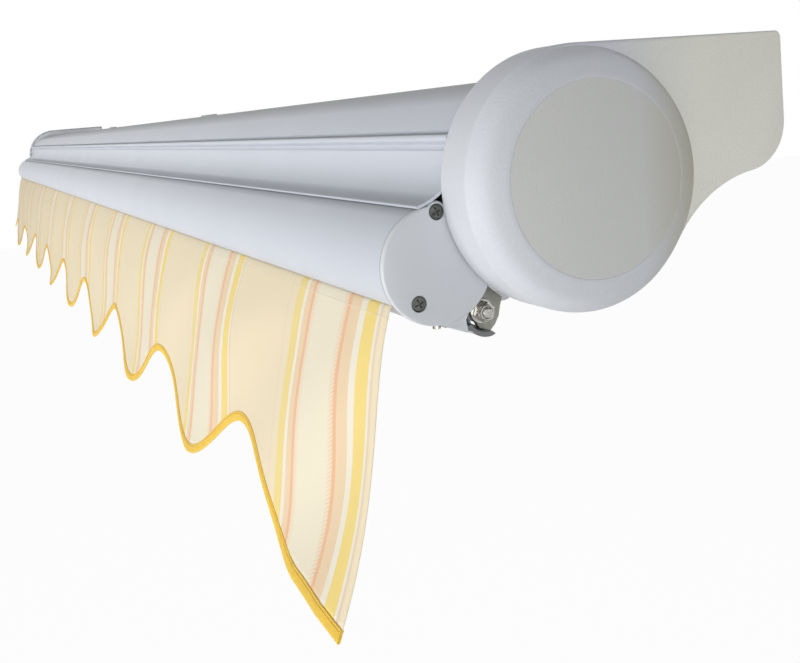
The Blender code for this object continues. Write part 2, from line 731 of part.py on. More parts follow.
def console():
    """Bracket on the torsion tube whose two cheeks carry the tilt block."""
    half = TUBE_SIZE / 2 + GAP
    ring = 0.007
    centre = (TUBE_FORWARD, TUBE_ABOVE_AXIS)
    low = (centre[0] - half - ring, centre[1] - half - ring)
    high = (centre[0] + half + ring, centre[1] + half + ring)
    bore = rounded_box((centre[0] - half, centre[1] - half), (centre[0] + half, centre[1] + half), BORE_CORNER, 1)
    inner = PIVOT_X - BLOCK_INNER - GAP
    outer = PIVOT_X + BLOCK_OUTER + GAP
    start = inner - CONSOLE_CHEEK
    end = outer + CONSOLE_CHEEK
    casting = bar_along_x("arm_console_R", [rounded_box(low, high, 0.004, 2), bore], start, end, "white_coat")
    boss = (TILT_Y, TILT_Z)
    loop = arc(boss, TILT_BOSS, 180, 360, 10) + [(high[0], low[1] + ring / 2), (low[0], low[1] + ring / 2)]
    for a, b in ((start, inner), (outer, end)):
        join_solids(casting, bar_along_x("cheek", [loop], a, b, "white_coat"))
    drill(casting, boss, TILT_BOLT_RADIUS + GAP, start - GAP, end + GAP, sides=16)
    return casting


def tilt_bolt():
    """Bolt that the arm's pitch is set about, with its head and nut."""
    inner = PIVOT_X - BLOCK_INNER - GAP - CONSOLE_CHEEK
    outer = PIVOT_X + BLOCK_OUTER + GAP + CONSOLE_CHEEK
    spot = (TILT_Y, TILT_Z)
    bolt = bar_along_x("tilt_bolt_R", [circle(spot, TILT_BOLT_RADIUS, 14)], inner - 0.009, outer + 0.002, "zinc")
    for a, b in ((inner - GAP - 0.008, inner - GAP), (outer + GAP, outer + GAP + 0.006)):
        join_solids(bolt, bar_along_x("hex", [circle(spot, TILT_BOLT_RADIUS * 1.8, 6)], a, b, "zinc"))
    return bolt


def tilt_block():
    """Block between the console's cheeks, with the fork that holds the shoulder."""
    web = SHOULDER_Y + 0.024
    half = SHOULDER_TONGUE / 2 + GAP
    top = ARM_LEVEL + half + LUG
    base = ARM_LEVEL - half - LUG
    boss = (TILT_Y, TILT_Z)
    loop = [(web, base)] + arc(boss, TILT_BOSS - 0.001, -75, 90, 9) + [(web, top)]
    inner = PIVOT_X - BLOCK_INNER
    outer = PIVOT_X + BLOCK_OUTER
    block = bar_along_x("tilt_block_R", [loop], inner, outer, "white_coat")
    eye = arc(SHOULDER, EYE_RADIUS, 180, 360, 10) + [(PIVOT_X + EYE_RADIUS, web + 0.001), (inner, web + 0.001)]
    for low in (ARM_LEVEL + half, base):
        join_solids(block, plate_up_z("lug", [eye], low, low + LUG, "white_coat"))
    drill(block, SHOULDER, PIN_RADIUS + PIN_FIT, base - 0.001, top + 0.001, upright=True)
    drill(block, boss, TILT_BOLT_RADIUS + GAP, inner - 0.001, outer + 0.001, sides=16)
    return block


# Front bar

def groove_points(angle, radius, mouth):
    """A round pocket below the bar's skin. Its mouth is left open towards the outside."""
    a = math.radians(angle)
    depth = BAR_RADIUS - GROOVE_DEPTH
    centre = (BAR_CENTRE[0] + depth * math.cos(a), BAR_CENTRE[1] + depth * math.sin(a))
    return arc(centre, radius, angle - mouth, angle - 360 + mouth, 12)


def bar_ring(radius, start, end, step):
    """Part of the bar's round skin."""
    steps = max(1, round(abs(end - start) / step))
    return arc(BAR_CENTRE, radius, start, end, steps)


def bar_loops():
    """Outside and chambers of the front bar's section."""
    lip = math.degrees(math.asin(GROOVE_SLOT / 2 / BAR_RADIUS))
    mouth = math.degrees(math.asin(GROOVE_SLOT / 2 / GROOVE_RADIUS))
    leg = 262.0
    hook_outer = SOCKET_RADIUS + SOCKET_WALL
    join = math.degrees(math.atan2(-0.0385, 0.0155))
    outside = bar_ring(BAR_RADIUS, CANOPY_GROOVE_ANGLE + lip, VALANCE_GROOVE_ANGLE - lip, 6)
    outside += groove_points(VALANCE_GROOVE_ANGLE, GROOVE_RADIUS, mouth)
    outside += bar_ring(BAR_RADIUS, VALANCE_GROOVE_ANGLE + lip, leg, 6)
    outside += arc(SOCKET, hook_outer, 220, 278, 7)
    outside.append((SOCKET[0] + 0.0075, SOCKET[1] - 0.0160))
    outside += arc(SOCKET, SOCKET_RADIUS, 282, 172, 10)
    outside += bar_ring(BAR_RADIUS, -54, CANOPY_GROOVE_ANGLE - lip, 6)
    outside += groove_points(CANOPY_GROOVE_ANGLE, GROOVE_RADIUS, mouth)
    inner = BAR_RADIUS - BAR_WALL
    pocket = GROOVE_RADIUS + GROOVE_WALL
    depth = BAR_RADIUS - GROOVE_DEPTH
    bend = math.degrees(math.acos((inner**2 - depth**2 - pocket**2) / (2 * depth * pocket)))
    clear = math.degrees(math.atan2(pocket * math.sin(math.radians(bend)),
                                    depth + pocket * math.cos(math.radians(bend))))
    chamber = bar_ring(inner, CANOPY_GROOVE_ANGLE + clear, VALANCE_GROOVE_ANGLE - clear, 7)[1:-1]
    chamber += groove_points(VALANCE_GROOVE_ANGLE, pocket, bend)
    chamber += bar_ring(inner, VALANCE_GROOVE_ANGLE + clear, 360 + CANOPY_GROOVE_ANGLE - clear, 7)[1:-1]
    chamber += groove_points(CANOPY_GROOVE_ANGLE, pocket, bend)
    wedge = bar_ring(BAR_RADIUS + BAR_WALL, 274, 298, 6)
    wedge += [(SOCKET[0] - SOCKET_RADIUS - 0.003, SOCKET[1] - 0.002), (-0.0785, -0.0960)]
    return outside, chamber, wedge


def front_bar():
    """Round-nosed extrusion with two keder grooves and a hinge socket along its back."""
    outside, chamber, wedge = bar_loops()
    return bar_along_x("front_bar", [outside, chamber, wedge], -BAR_END, BAR_END, "white_coat")


def cap_tab():
    """Lobe of the bar's end cap that covers the wedge between the round chamber and the socket."""
    lobe = [(BAR_CENTRE[0] - 0.005, BAR_CENTRE[1] - BAR_RADIUS + 0.0015), (SOCKET[0] - 0.0165, SOCKET[1] - 0.0115)]
    return lobe + [(SOCKET[0] - 0.0178, SOCKET[1] - 0.002), (SOCKET[0] - 0.0130, SOCKET[1] + 0.0065)]


def bar_cap():
    """Bevelled plate that closes the bar's round end, with its two countersunk screws."""
    start = BAR_END + GAP
    end = start + BAR_CAP
    flat = end - BAR_CAP_BEVEL * 0.6
    bm = bmesh.new()
    rings = []
    for x, radius in ((start, BAR_RADIUS), (flat, BAR_RADIUS),
                      (end - BAR_CAP_BEVEL * 0.15, BAR_RADIUS - BAR_CAP_BEVEL * 0.45),
                      (end, BAR_RADIUS - BAR_CAP_BEVEL)):
        rings.append([bm.verts.new(on_axis(x, p)) for p in circle(BAR_CENTRE, radius, 36)])
    for one, two in zip(rings, rings[1:]):
        for i in range(len(one)):
            j = (i + 1) % len(one)
            bm.faces.new((one[i], one[j], two[j], two[i]))
    bm.faces.new(rings[0][::-1])
    bm.faces.new(rings[-1])
    bmesh.ops.recalc_face_normals(bm, faces=bm.faces[:])
    cap = finish_mesh(bm, "bar_cap_R", "white_coat")
    join_solids(cap, bar_along_x("tab", [cap_tab()], start, flat, "white_coat"))
    for spot in CAP_SCREWS_AT:
        drill(cap, spot, CAP_SCREW_HEAD + GAP, end - SCREW_SINK, end + 0.001, sides=16)
        for radius, low, high in ((CAP_SCREW_HEAD * 0.45, start - SCREW_LENGTH, end - SCREW_SINK / 2),
                                  (CAP_SCREW_HEAD - GAP, end - SCREW_SINK - 0.001, end)):
            join_solids(cap, bar_along_x("screw", [circle(spot, radius, 12)], low, high, "dark_zinc"))
        for reach in ((0.0030, 0.0006), (0.0006, 0.0030)):
            low = (spot[0] - reach[0], spot[1] - reach[1])
            high = (spot[0] + reach[0], spot[1] + reach[1])
            slot = bar_along_x("slot", [rounded_box(low, high, 0.0002, 1)], end - SCREW_SLOT, end + 0.001, "zinc")
            join_solids(cap, slot, "DIFFERENCE")
    return cap


SCREW_SINK = 0.0022
SCREW_SLOT = 0.0010
SCREW_LENGTH = 0.012


def bar_carrier():
    """Steel cradle in the bar's socket: a curved back with a cheek at each end."""
    inner = KNUCKLE_INNER - GAP
    outer = KNUCKLE_OUTER + GAP
    back = arc(SOCKET, SOCKET_RADIUS - GAP, 176, 268, 7) + arc(SOCKET, BARREL_RADIUS + 0.0015, 268, 176, 6)
    cradle = bar_along_x("bar_carrier_R", [back], inner - CHEEK, outer + CHEEK, "dark_zinc")
    cheek = arc(SOCKET, SOCKET_RADIUS - GAP, 176, 330, 8)
    cheek += [(SOCKET[0] + 0.0160, SOCKET[1] + 0.004), (SOCKET[0] + 0.0165, SOCKET[1] + 0.016),
              (SOCKET[0] + 0.0100, SOCKET[1] + 0.026)]
    cheek += bar_ring(BAR_RADIUS + 0.0008, -24, -57, 11)
    for a, b in ((inner - CHEEK, inner), (outer, outer + CHEEK)):
        join_solids(cradle, bar_along_x("cheek", [cheek], a, b, "dark_zinc"))
    drill(cradle, SOCKET, BOLT_RADIUS + GAP, inner - 2 * CHEEK, outer + 2 * CHEEK, sides=16)
    return cradle


def knuckle_bolt():
    """Knuckle bolt with its washer and lock nut, which shows beside the bar's end cap."""
    inner = KNUCKLE_INNER - GAP - CHEEK
    outer = KNUCKLE_OUTER + GAP + CHEEK
    bolt = bar_along_x("knuckle_bolt_R", [circle(SOCKET, BOLT_RADIUS, 14)], inner - 0.003, outer + 0.0095, "zinc")
    washer = (outer + GAP, outer + GAP + WASHER_THICKNESS)
    nut = (washer[1] - 0.0001, washer[1] + NUT_HEIGHT)
    hexagon = circle(SOCKET, NUT_FLATS / math.sqrt(3), 6)
    collar = circle(SOCKET, NUT_FLATS * 0.43, 18)
    pieces = [
        bar_along_x("washer", [circle(SOCKET, WASHER_RADIUS, 24)], washer[0], washer[1], "zinc"),
        bar_along_x("nut", [hexagon], nut[0], nut[1] - 0.0015, "zinc"),
        bar_along_x("collar", [collar], nut[1] - 0.0020, nut[1], "zinc"),
        bar_along_x("head", [hexagon], inner - GAP - 0.0045, inner - GAP, "zinc"),
    ]
    for piece in pieces:
        join_solids(bolt, piece)
    return bolt


def knuckle():
    """Casting between the forearm's wrist and the bar's socket."""
    half = WRIST_TONGUE / 2 + GAP
    top = ARM_LEVEL + half + LUG
    base = ARM_LEVEL - half - LUG
    web = WRIST_Y - 0.024
    loop = [(web, base), (web, top), (web - 0.004, top), (web - 0.012, ARM_LEVEL + 0.005)]
    loop += arc(SOCKET, BARREL_RADIUS - GAP, 60, 270, 10)
    inner = KNUCKLE_INNER
    reach = PIVOT_X + EYE_RADIUS
    block = bar_along_x("knuckle_R", [loop], inner, reach, "alloy")
    barrel = bar_along_x("barrel", [circle(SOCKET, BARREL_RADIUS, 20)], inner, KNUCKLE_OUTER, "alloy")
    join_solids(block, barrel)
    eye = arc(WRIST, EYE_RADIUS, 0, 180, 10) + [(inner, web - 0.001), (reach, web - 0.001)]
    for low in (ARM_LEVEL + half, base):
        join_solids(block, plate_up_z("lug", [eye], low, low + LUG, "alloy"))
    drill(block, WRIST, PIN_RADIUS + PIN_FIT, base - 0.001, top + 0.001, upright=True)
    drill(block, SOCKET, BOLT_RADIUS + PIN_FIT, KNUCKLE_INNER - 0.001, KNUCKLE_OUTER + 0.001, sides=16)
    return block


# Cloth

def groove_centre(angle):
    """Centre of a keder groove."""
    a = math.radians(angle)
    depth = BAR_RADIUS - GROOVE_DEPTH
    return BAR_CENTRE[0] + depth * math.cos(a), BAR_CENTRE[1] + depth * math.sin(a)


def keder(name, angle, end):
    """Plastic rod that the cloth's edge is welded round, inside its groove."""
    return bar_along_x(name, [circle(groove_centre(angle), KEDER_RADIUS, 12)], -end, end, "keder")


def fall_at(t):
    """A point of the valance's fall, from the bar's groove at t = 0 down to t = 1."""
    a, b, c, d = (Vector(p) for p in VALANCE_FALL)
    s = 1 - t
    return a * s**3 + b * 3 * s * s * t + c * 3 * s * t * t + d * t**3


def fall_to(z):
    """How far down the fall the height z lies."""
    low, high = 0.0, 1.0
    for _ in range(30):
        middle = (low + high) / 2
        if fall_at(middle).y > z:
            low = middle
        else:
            high = middle
    return (low + high) / 2


def hem(x):
    """Height of the scalloped hem and its slope. The right end stays at its low point."""
    phase = 2 * math.pi * min(x - SCALLOP_LOW_X, 0.0) / SCALLOP_PITCH
    middle = (HEM_HIGH + HEM_LOW) / 2
    swing = (HEM_HIGH - HEM_LOW) / 2
    return middle - swing * math.cos(phase), swing * 2 * math.pi / SCALLOP_PITCH * math.sin(phase)


def cloth_strip(name, columns, thickness, finish):
    """A closed sheet through columns of points, each column at its own x."""
    bm = bmesh.new()
    skins = ([], [])
    for x, path in columns:
        for skin, distance in zip(skins, (thickness / 2, -thickness / 2)):
            skin.append([bm.verts.new(on_axis(x, p)) for p in offset(path, distance)])
    for skin in skins:
        for one, two in zip(skin, skin[1:]):
            for k in range(len(one) - 1):
                bm.faces.new((one[k], one[k + 1], two[k + 1], two[k]))
    front, back = skins
    for f, b in ((front[0], back[0]), (front[-1], back[-1])):
        for k in range(len(f) - 1):
            bm.faces.new((f[k], f[k + 1], b[k + 1], b[k]))
    for row in (0, -1):
        for i in range(len(front) - 1):
            bm.faces.new((front[i][row], front[i + 1][row], back[i + 1][row], back[i][row]))
    bmesh.ops.recalc_face_normals(bm, faces=bm.faces[:])
    return finish_mesh(bm, name, finish)


def valance_columns():
    """Places along the bar where the valance's columns stand."""
    end = BAR_END - VALANCE_INSET
    count = round(2 * end / SCALLOP_PITCH * COLUMNS_PER_SCALLOP)
    return [end - 2 * end * i / count for i in range(count + 1)]


def valance():
    """Scalloped cloth that hangs from the bar, as far down as its binding."""
    groove = Vector(groove_centre(VALANCE_GROOVE_ANGLE))
    out = Vector((math.cos(math.radians(VALANCE_GROOVE_ANGLE)), math.sin(math.radians(VALANCE_GROOVE_ANGLE))))
    top = tuple(groove + out * (KEDER_RADIUS + GAP))
    columns = []
    for x in valance_columns():
        z, slope = hem(x)
        depth = fall_to(z + BINDING_WIDTH * math.sqrt(1 + slope**2) + GAP)
        path = [top] + [tuple(fall_at(depth * k / VALANCE_ROWS)) for k in range(VALANCE_ROWS + 1)]
        columns.append((x, path))
    return cloth_strip("valance", columns, CLOTH, "cloth")


def binding():
    """Folded tape along the scallops, as one solid below the cloth's edge."""
    columns = []
    for x in valance_columns():
        z, slope = hem(x)
        start = fall_to(z + BINDING_WIDTH * math.sqrt(1 + slope**2))
        end = fall_to(z)
        columns.append((x, [tuple(fall_at(start)), tuple(fall_at((start + end) / 2)), tuple(fall_at(end))]))
    return cloth_strip("valance_binding", columns, BINDING_THICKNESS, "binding")


def canopy_lead():
    """The stretch of cloth between the roll and the bar's upper groove."""
    groove = Vector(groove_centre(CANOPY_GROOVE_ANGLE))
    angle = math.radians(CANOPY_GROOVE_ANGLE)
    out = Vector((math.cos(angle), math.sin(angle)))
    radius = ROLL_RADIUS + CLOTH / 2 + GAP
    mouth = groove + out * (GROOVE_DEPTH + 0.0015)
    bearing = math.degrees(math.atan2(mouth.y, mouth.x)) + math.degrees(math.acos(radius / mouth.length))
    path = [tuple(groove + out * (KEDER_RADIUS + GAP)), tuple(mouth)]
    path += arc((0, 0), radius, bearing, bearing + 40, 6)
    end = HALF_LENGTH - ROLLER_END_GAP - CLOTH_INSET
    return cloth_strip("canopy_lead", [(end, path), (-end, path)], CLOTH, "cloth")


def build():
    """Make every piece and hang it on the body that carries it."""
    for obj in list(bpy.data.objects):
        bpy.data.objects.remove(obj)
    cassette = body("body_cassette", (0, AXIS_Y + TUBE_FORWARD, 0))
    roller = body("body_roller", (0, AXIS_Y, AXIS_Z), cassette)
    reach = HALF_LENGTH - BRACKET_INSET
    places = (-reach, 0.0, reach)
    support = HALF_LENGTH * SUPPORT_SHARE
    fixed = [torsion_tube(), hood(), idler_bearing(), tube_motor()]
    for label, x in zip(("L", "C", "R"), places):
        fixed += [wall_bracket("wall_bracket_" + label, x), bracket_clamp("bracket_clamp_" + label, x)]
    for label, x in zip(("L", "R"), (-support, support)):
        fixed.append(hood_support("hood_support_" + label, x))
    for make in (end_plate, end_cap, cap_disc, console, tilt_bolt):
        piece = make()
        fixed += [piece, mirrored(piece, piece.name[:-1] + "L")]
    for piece in fixed:
        hold(piece, cassette)
    for piece in (roller_tube(), cloth_roll(), roller_plug(), drive_wheel()):
        hold(piece, roller)

    elbow = ELBOW_TONGUE / 2
    upper_layers = [(elbow + GAP, UPPER_ARM_HEIGHT / 2), (-UPPER_ARM_HEIGHT / 2, -elbow - GAP)]
    arm_pieces = {
        "tilt": [tilt_block(), pin("shoulder_pin_R", SHOULDER, SHOULDER_TONGUE / 2 + GAP + LUG + GAP)],
        "upper_arm": [
            arm_tube("upper_arm_R", UPPER, UPPER_ARM_THICKNESS, UPPER_ARM_HEIGHT, "white_coat"),
            head("shoulder_head_R", UPPER, 0, UPPER_ARM_THICKNESS, UPPER_ARM_HEIGHT,
                 [(-SHOULDER_TONGUE / 2, SHOULDER_TONGUE / 2)], 1, "alloy"),
            head("elbow_fork_R", UPPER, ARM_LENGTH, UPPER_ARM_THICKNESS, UPPER_ARM_HEIGHT,
                 upper_layers, -1, "alloy"),
            pin("elbow_pin_R", ELBOW, UPPER_ARM_HEIGHT / 2 + GAP),
        ],
        "forearm": [
            arm_tube("forearm_R", FORE, FOREARM_THICKNESS, FOREARM_HEIGHT, "white_coat"),
            head("elbow_tongue_R", FORE, 0, FOREARM_THICKNESS, FOREARM_HEIGHT,
                 [(-elbow, elbow)], 1, "alloy"),
            head("wrist_head_R", FORE, ARM_LENGTH, FOREARM_THICKNESS, FOREARM_HEIGHT,
                 [(-WRIST_TONGUE / 2, WRIST_TONGUE / 2)], -1, "alloy"),
        ],
        "knuckle": [knuckle(), pin("wrist_pin_R", WRIST, WRIST_TONGUE / 2 + GAP + LUG + GAP)],
    }
    bodies = {}
    for side, label in ((1, "R"), (-1, "L")):
        tilt = body("body_tilt_" + label, (side * PIVOT_X, AXIS_Y + TILT_Y, AXIS_Z + TILT_Z), cassette)
        level = AXIS_Z + ARM_LEVEL
        upper = body("body_upper_arm_" + label, (side * SHOULDER[0], AXIS_Y + SHOULDER[1], level), tilt)
        fore = body("body_forearm_" + label, (side * ELBOW[0], AXIS_Y + ELBOW[1], level), upper)
        wrist = body("body_knuckle_" + label, (side * WRIST[0], AXIS_Y + WRIST[1], level), fore)
        bodies[label] = {"tilt": tilt, "upper_arm": upper, "forearm": fore, "knuckle": wrist}
    for name, pieces in arm_pieces.items():
        for piece in pieces:
            twin = mirrored(piece, piece.name[:-1] + "L")
            hold(piece, bodies["R"][name])
            hold(twin, bodies["L"][name])

    bar = body("body_front_bar", on_axis(PIVOT_X, SOCKET), bodies["R"]["knuckle"])
    end = BAR_END - VALANCE_INSET
    cloth_end = HALF_LENGTH - ROLLER_END_GAP - CLOTH_INSET
    on_bar = [front_bar(), valance(), binding(), keder("valance_keder", VALANCE_GROOVE_ANGLE, end),
              keder("canopy_keder", CANOPY_GROOVE_ANGLE, cloth_end)]
    for make in (bar_cap, bar_carrier, knuckle_bolt):
        piece = make()
        on_bar += [piece, mirrored(piece, piece.name[:-1] + "L")]
    for piece in on_bar:
        hold(piece, bar)
    hold(canopy_lead(), cassette)


build()
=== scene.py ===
"""Looks of the retracted folding-arm awning: coatings, moulded caps, screws and striped cloth."""

import json
import math

import bmesh
import bpy
from mathutils import Matrix, Vector, noise

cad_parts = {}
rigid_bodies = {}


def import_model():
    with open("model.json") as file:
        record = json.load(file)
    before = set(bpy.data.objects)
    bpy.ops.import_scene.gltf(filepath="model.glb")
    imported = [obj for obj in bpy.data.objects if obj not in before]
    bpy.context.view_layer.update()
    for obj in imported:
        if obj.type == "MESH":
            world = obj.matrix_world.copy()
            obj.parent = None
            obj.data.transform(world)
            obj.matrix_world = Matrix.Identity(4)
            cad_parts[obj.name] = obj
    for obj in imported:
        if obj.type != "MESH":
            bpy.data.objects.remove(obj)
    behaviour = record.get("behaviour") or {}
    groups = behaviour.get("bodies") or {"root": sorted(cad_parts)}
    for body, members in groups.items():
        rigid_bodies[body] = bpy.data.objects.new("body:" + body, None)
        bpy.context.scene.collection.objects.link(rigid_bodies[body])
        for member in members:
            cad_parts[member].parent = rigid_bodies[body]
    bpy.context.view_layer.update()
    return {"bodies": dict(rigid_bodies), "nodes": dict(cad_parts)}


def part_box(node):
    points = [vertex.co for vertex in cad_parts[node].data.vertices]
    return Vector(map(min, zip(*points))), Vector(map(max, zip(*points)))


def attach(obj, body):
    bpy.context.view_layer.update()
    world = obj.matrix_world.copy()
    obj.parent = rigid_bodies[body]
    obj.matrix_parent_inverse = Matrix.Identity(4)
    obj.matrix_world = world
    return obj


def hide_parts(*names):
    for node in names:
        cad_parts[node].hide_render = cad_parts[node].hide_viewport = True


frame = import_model()
scene = bpy.context.scene
scene.view_settings.view_transform = "Standard"

# Studio
# A pale floor 3 m below the awning and an even pale sky. Two broad lamps shine up from in front
# of the right end, and two weak ones down from in front and from behind, as for a catalogue.
# The camera stands close to the right end and looks along the front bar.
FLOOR_SIZE = 60
FLOOR_HEIGHT = -3.0
FLOOR_COLOUR = (0.93, 0.93, 0.93)
SKY = (0.93, 0.94, 0.96)
SKY_STRENGTH = 0.28
WHITE_BACKDROP = (1.0, 1.0, 1.0)
FLOOR_FADE = 0.96
SENSOR_MM = 36.0
LENS_MM = 47.44
SHIFT_DOWN = -0.1419
CAMERA_AT = (2.3882, -0.5742, 0.0174)
CAMERA_RIGHT = (0.39963, 0.91296, -0.08242)
CAMERA_UP = (-0.05954, 0.11558, 0.99151)
CAMERA_BACK = (0.91474, -0.39133, 0.10055)
LAMPS = (
    ("lamp_below_front", (1.2, -6.2, -1.45), (0.6, -0.2, -0.1), 3.0, 200),
    ("lamp_below_end", (7.0, -2.8, -0.7), (1.7, -0.2, -0.1), 2.6, 150),
    ("lamp_front", (0.8, -5.5, 1.0), (0.4, -0.2, 0.0), 2.0, 26),
    ("lamp_back", (0.6, 3.4, 1.6), (0.2, -0.1, 0.0), 2.0, 26),
)


def maths(operation, turned=False):
    """A method that adds a Math node for this operation."""

    def method(value, other=0.0):
        pair = (other, value) if turned else (value, other)
        sockets = dict(enumerate(pair))
        result = value.finish.node("ShaderNodeMath", {"operation": operation}, sockets)
        return Value(value.finish, result)

    return method


class Value:
    """A socket that adds Math nodes when it is used in an expression."""

    __add__ = __radd__ = maths("ADD")
    __sub__ = maths("SUBTRACT")
    __rsub__ = maths("SUBTRACT", turned=True)
    __mul__ = maths("MULTIPLY")
    __truediv__ = maths("DIVIDE")
    above = maths("GREATER_THAN")
    below = maths("LESS_THAN")
    largest = maths("MAXIMUM")
    fraction = maths("FRACT")
    size = maths("ABSOLUTE")
    sine = maths("SINE")

    def __init__(self, finish, socket):
        self.finish = finish
        self.socket = socket


class Finish:
    """A material under construction: one node method and the Principled shader it feeds."""

    def __init__(self, name, **shader):
        self.material = bpy.data.materials.new(name)
        self.material.use_nodes = True
        self.tree = self.material.node_tree
        self.shader = self.tree.nodes["Principled BSDF"]
        self.set(**shader)

    def set(self, **sockets):
        for key, value in sockets.items():
            self._feed(self.shader.inputs[key.replace("_", " ")], value)

    def _feed(self, socket, value):
        if isinstance(value, Value):
            value = value.socket
        if isinstance(value, bpy.types.NodeSocket):
            self.tree.links.new(value, socket)
        elif isinstance(value, tuple) and len(value) == 3 and socket.type == "RGBA":
            socket.default_value = (*value, 1.0)
        else:
            socket.default_value = value

    def node(self, kind, settings=None, sockets=None, output=0):
        made = self.tree.nodes.new(kind)
        for key, value in (settings or {}).items():
            if key == "stops":
                ramp = made.color_ramp
                ramp.interpolation = "CONSTANT"
                for place, colour in value[2:]:
                    ramp.elements.new(place)
                for element, (place, colour) in zip(ramp.elements, value):
                    element.position = place
                    element.color = (*colour, 1.0)
            else:
                setattr(made, key, value)
        for key, value in (sockets or {}).items():
            self._feed(made.inputs[key], value)
        return made.outputs[output]

    def place(self):
        """Object coordinates and their three parts."""
        where = self.node("ShaderNodeTexCoord", output="Object")
        parts = self.tree.nodes.new("ShaderNodeSeparateXYZ")
        self.tree.links.new(where, parts.inputs[0])
        return where, [Value(self, parts.outputs[i]) for i in range(3)]

    def grain(self, where, scale, detail=2.0):
        """Fine noise from 0 to 1."""
        sockets = {"Vector": where, "Scale": scale, "Detail": detail}
        return Value(self, self.node("ShaderNodeTexNoise", {}, sockets, "Fac"))

    def blend(self, factor, first, second):
        """A colour between two colours."""
        sockets = {0: factor, 6: first, 7: second}
        return self.node("ShaderNodeMix", {"data_type": "RGBA"}, sockets, 2)

    def bump(self, height, depth):
        """Feed the Normal from a height from 0 to 1 and its depth in metres."""
        sockets = {"Height": height, "Distance": depth, "Strength": 1.0}
        self.set(Normal=self.node("ShaderNodeBump", {}, sockets))
        return self


def dress(finish, *nodes):
    """Give CAD nodes this finish."""
    for name in nodes:
        obj = frame["nodes"][name]
        for slot in obj.material_slots:
            slot.material = finish.material


def both(*stems):
    """The left and right node of each name."""
    return [stem + "_" + side for stem in stems for side in ("L", "R")]


def placed_piece(name, mesh, body):
    """An object with this mesh that rides on a body."""
    piece = bpy.data.objects.new(name, mesh)
    scene.collection.objects.link(piece)
    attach(piece, body)
    return piece


def add_piece(name, bm, finish, body, smooth):
    """Make the bmesh a piece, smooth up to an angle."""
    mesh = bpy.data.meshes.new(name)
    bm.to_mesh(mesh)
    bm.free()
    mesh.shade_smooth()
    mesh.set_sharp_from_angle(angle=math.radians(smooth))
    mesh.materials.append(finish.material)
    return placed_piece(name, mesh, body)


def seen_rays(tree):
    """1 for rays from the camera, straight or by way of a mirror or glass."""
    path = tree.nodes.new("ShaderNodeLightPath")
    seen = path.outputs["Is Camera Ray"]
    for kind in ("Is Glossy Ray", "Is Transmission Ray"):
        larger = tree.nodes.new("ShaderNodeMath")
        larger.operation = "MAXIMUM"
        tree.links.new(seen, larger.inputs[0])
        tree.links.new(path.outputs[kind], larger.inputs[1])
        seen = larger.outputs[0]
    return seen


bpy.ops.mesh.primitive_plane_add(size=FLOOR_SIZE, location=(0, 0, FLOOR_HEIGHT))
floor = bpy.context.object
floor.name = "floor"
floor_paint = Finish("floor_paint", Base_Color=FLOOR_COLOUR, Roughness=0.9)
paint = floor_paint.shader.outputs[0]
glow = floor_paint.node("ShaderNodeEmission", {}, {"Color": WHITE_BACKDROP, "Strength": 1.0})
seen = Value(floor_paint, seen_rays(floor_paint.tree)) * FLOOR_FADE
faded = floor_paint.node("ShaderNodeMixShader", {}, {0: seen, 1: paint, 2: glow})
surface = floor_paint.tree.nodes["Material Output"].inputs["Surface"]
floor_paint.tree.links.new(faded, surface)
floor.data.materials.append(floor_paint.material)

world = bpy.data.worlds.new("sky")
world.use_nodes = True
sky = world.node_tree
even_light = sky.nodes["Background"]
even_light.inputs["Color"].default_value = (*SKY, 1.0)
even_light.inputs["Strength"].default_value = SKY_STRENGTH
backdrop = sky.nodes.new("ShaderNodeBackground")
backdrop.inputs["Color"].default_value = (*WHITE_BACKDROP, 1.0)
switch = sky.nodes.new("ShaderNodeMixShader")
sky.links.new(seen_rays(sky), switch.inputs[0])
sky.links.new(even_light.outputs[0], switch.inputs[1])
sky.links.new(backdrop.outputs[0], switch.inputs[2])
sky.links.new(switch.outputs[0], sky.nodes["World Output"].inputs["Surface"])
scene.world = world

for lamp_name, lamp_at, lamp_aim, lamp_size, lamp_watts in LAMPS:
    lamp = bpy.data.lights.new(lamp_name, "AREA")
    lamp.shape = "SQUARE"
    lamp.size = lamp_size
    lamp.energy = lamp_watts
    lamp_object = bpy.data.objects.new(lamp_name, lamp)
    lamp_object.location = lamp_at
    away = Vector(lamp_at) - Vector(lamp_aim)
    lamp_object.rotation_euler = away.to_track_quat("Z", "Y").to_euler()
    scene.collection.objects.link(lamp_object)

camera = bpy.data.cameras.new("camera")
camera.lens = LENS_MM
camera.sensor_width = SENSOR_MM
camera.shift_y = SHIFT_DOWN
camera.clip_start = 0.05
camera_object = bpy.data.objects.new("camera", camera)
turn = Matrix((CAMERA_RIGHT, CAMERA_UP, CAMERA_BACK)).transposed()
camera_object.matrix_world = Matrix.Translation(CAMERA_AT) @ turn.to_4x4()
scene.collection.objects.link(camera_object)
scene.camera = camera_object

# Hood, front bar, arms and brackets
# Aluminium extrusions and castings and a steel square tube, all powder coated in a slightly
# bluish white. The coating is a thin baked skin with a very fine orange peel.
# Faces that look up are painted darker, as painted shade, and are a little rougher.
COAT = (0.545, 0.575, 0.64)
COAT_DUSTY = (0.50, 0.52, 0.56)
# Painted shade: the dark grey that faces looking up are blended towards, from this height of their
# normal
UPWARD_PAINTED_SHADE = (0.34, 0.35, 0.345)
UPWARD_FROM = 0.84
PATCH_SCALE = 9.0
COAT_ROUGHNESS = 0.30
UPWARD_ROUGHNESS = 0.45
ORANGE_PEEL_SCALE = 900.0
ORANGE_PEEL_DEPTH = 0.00004


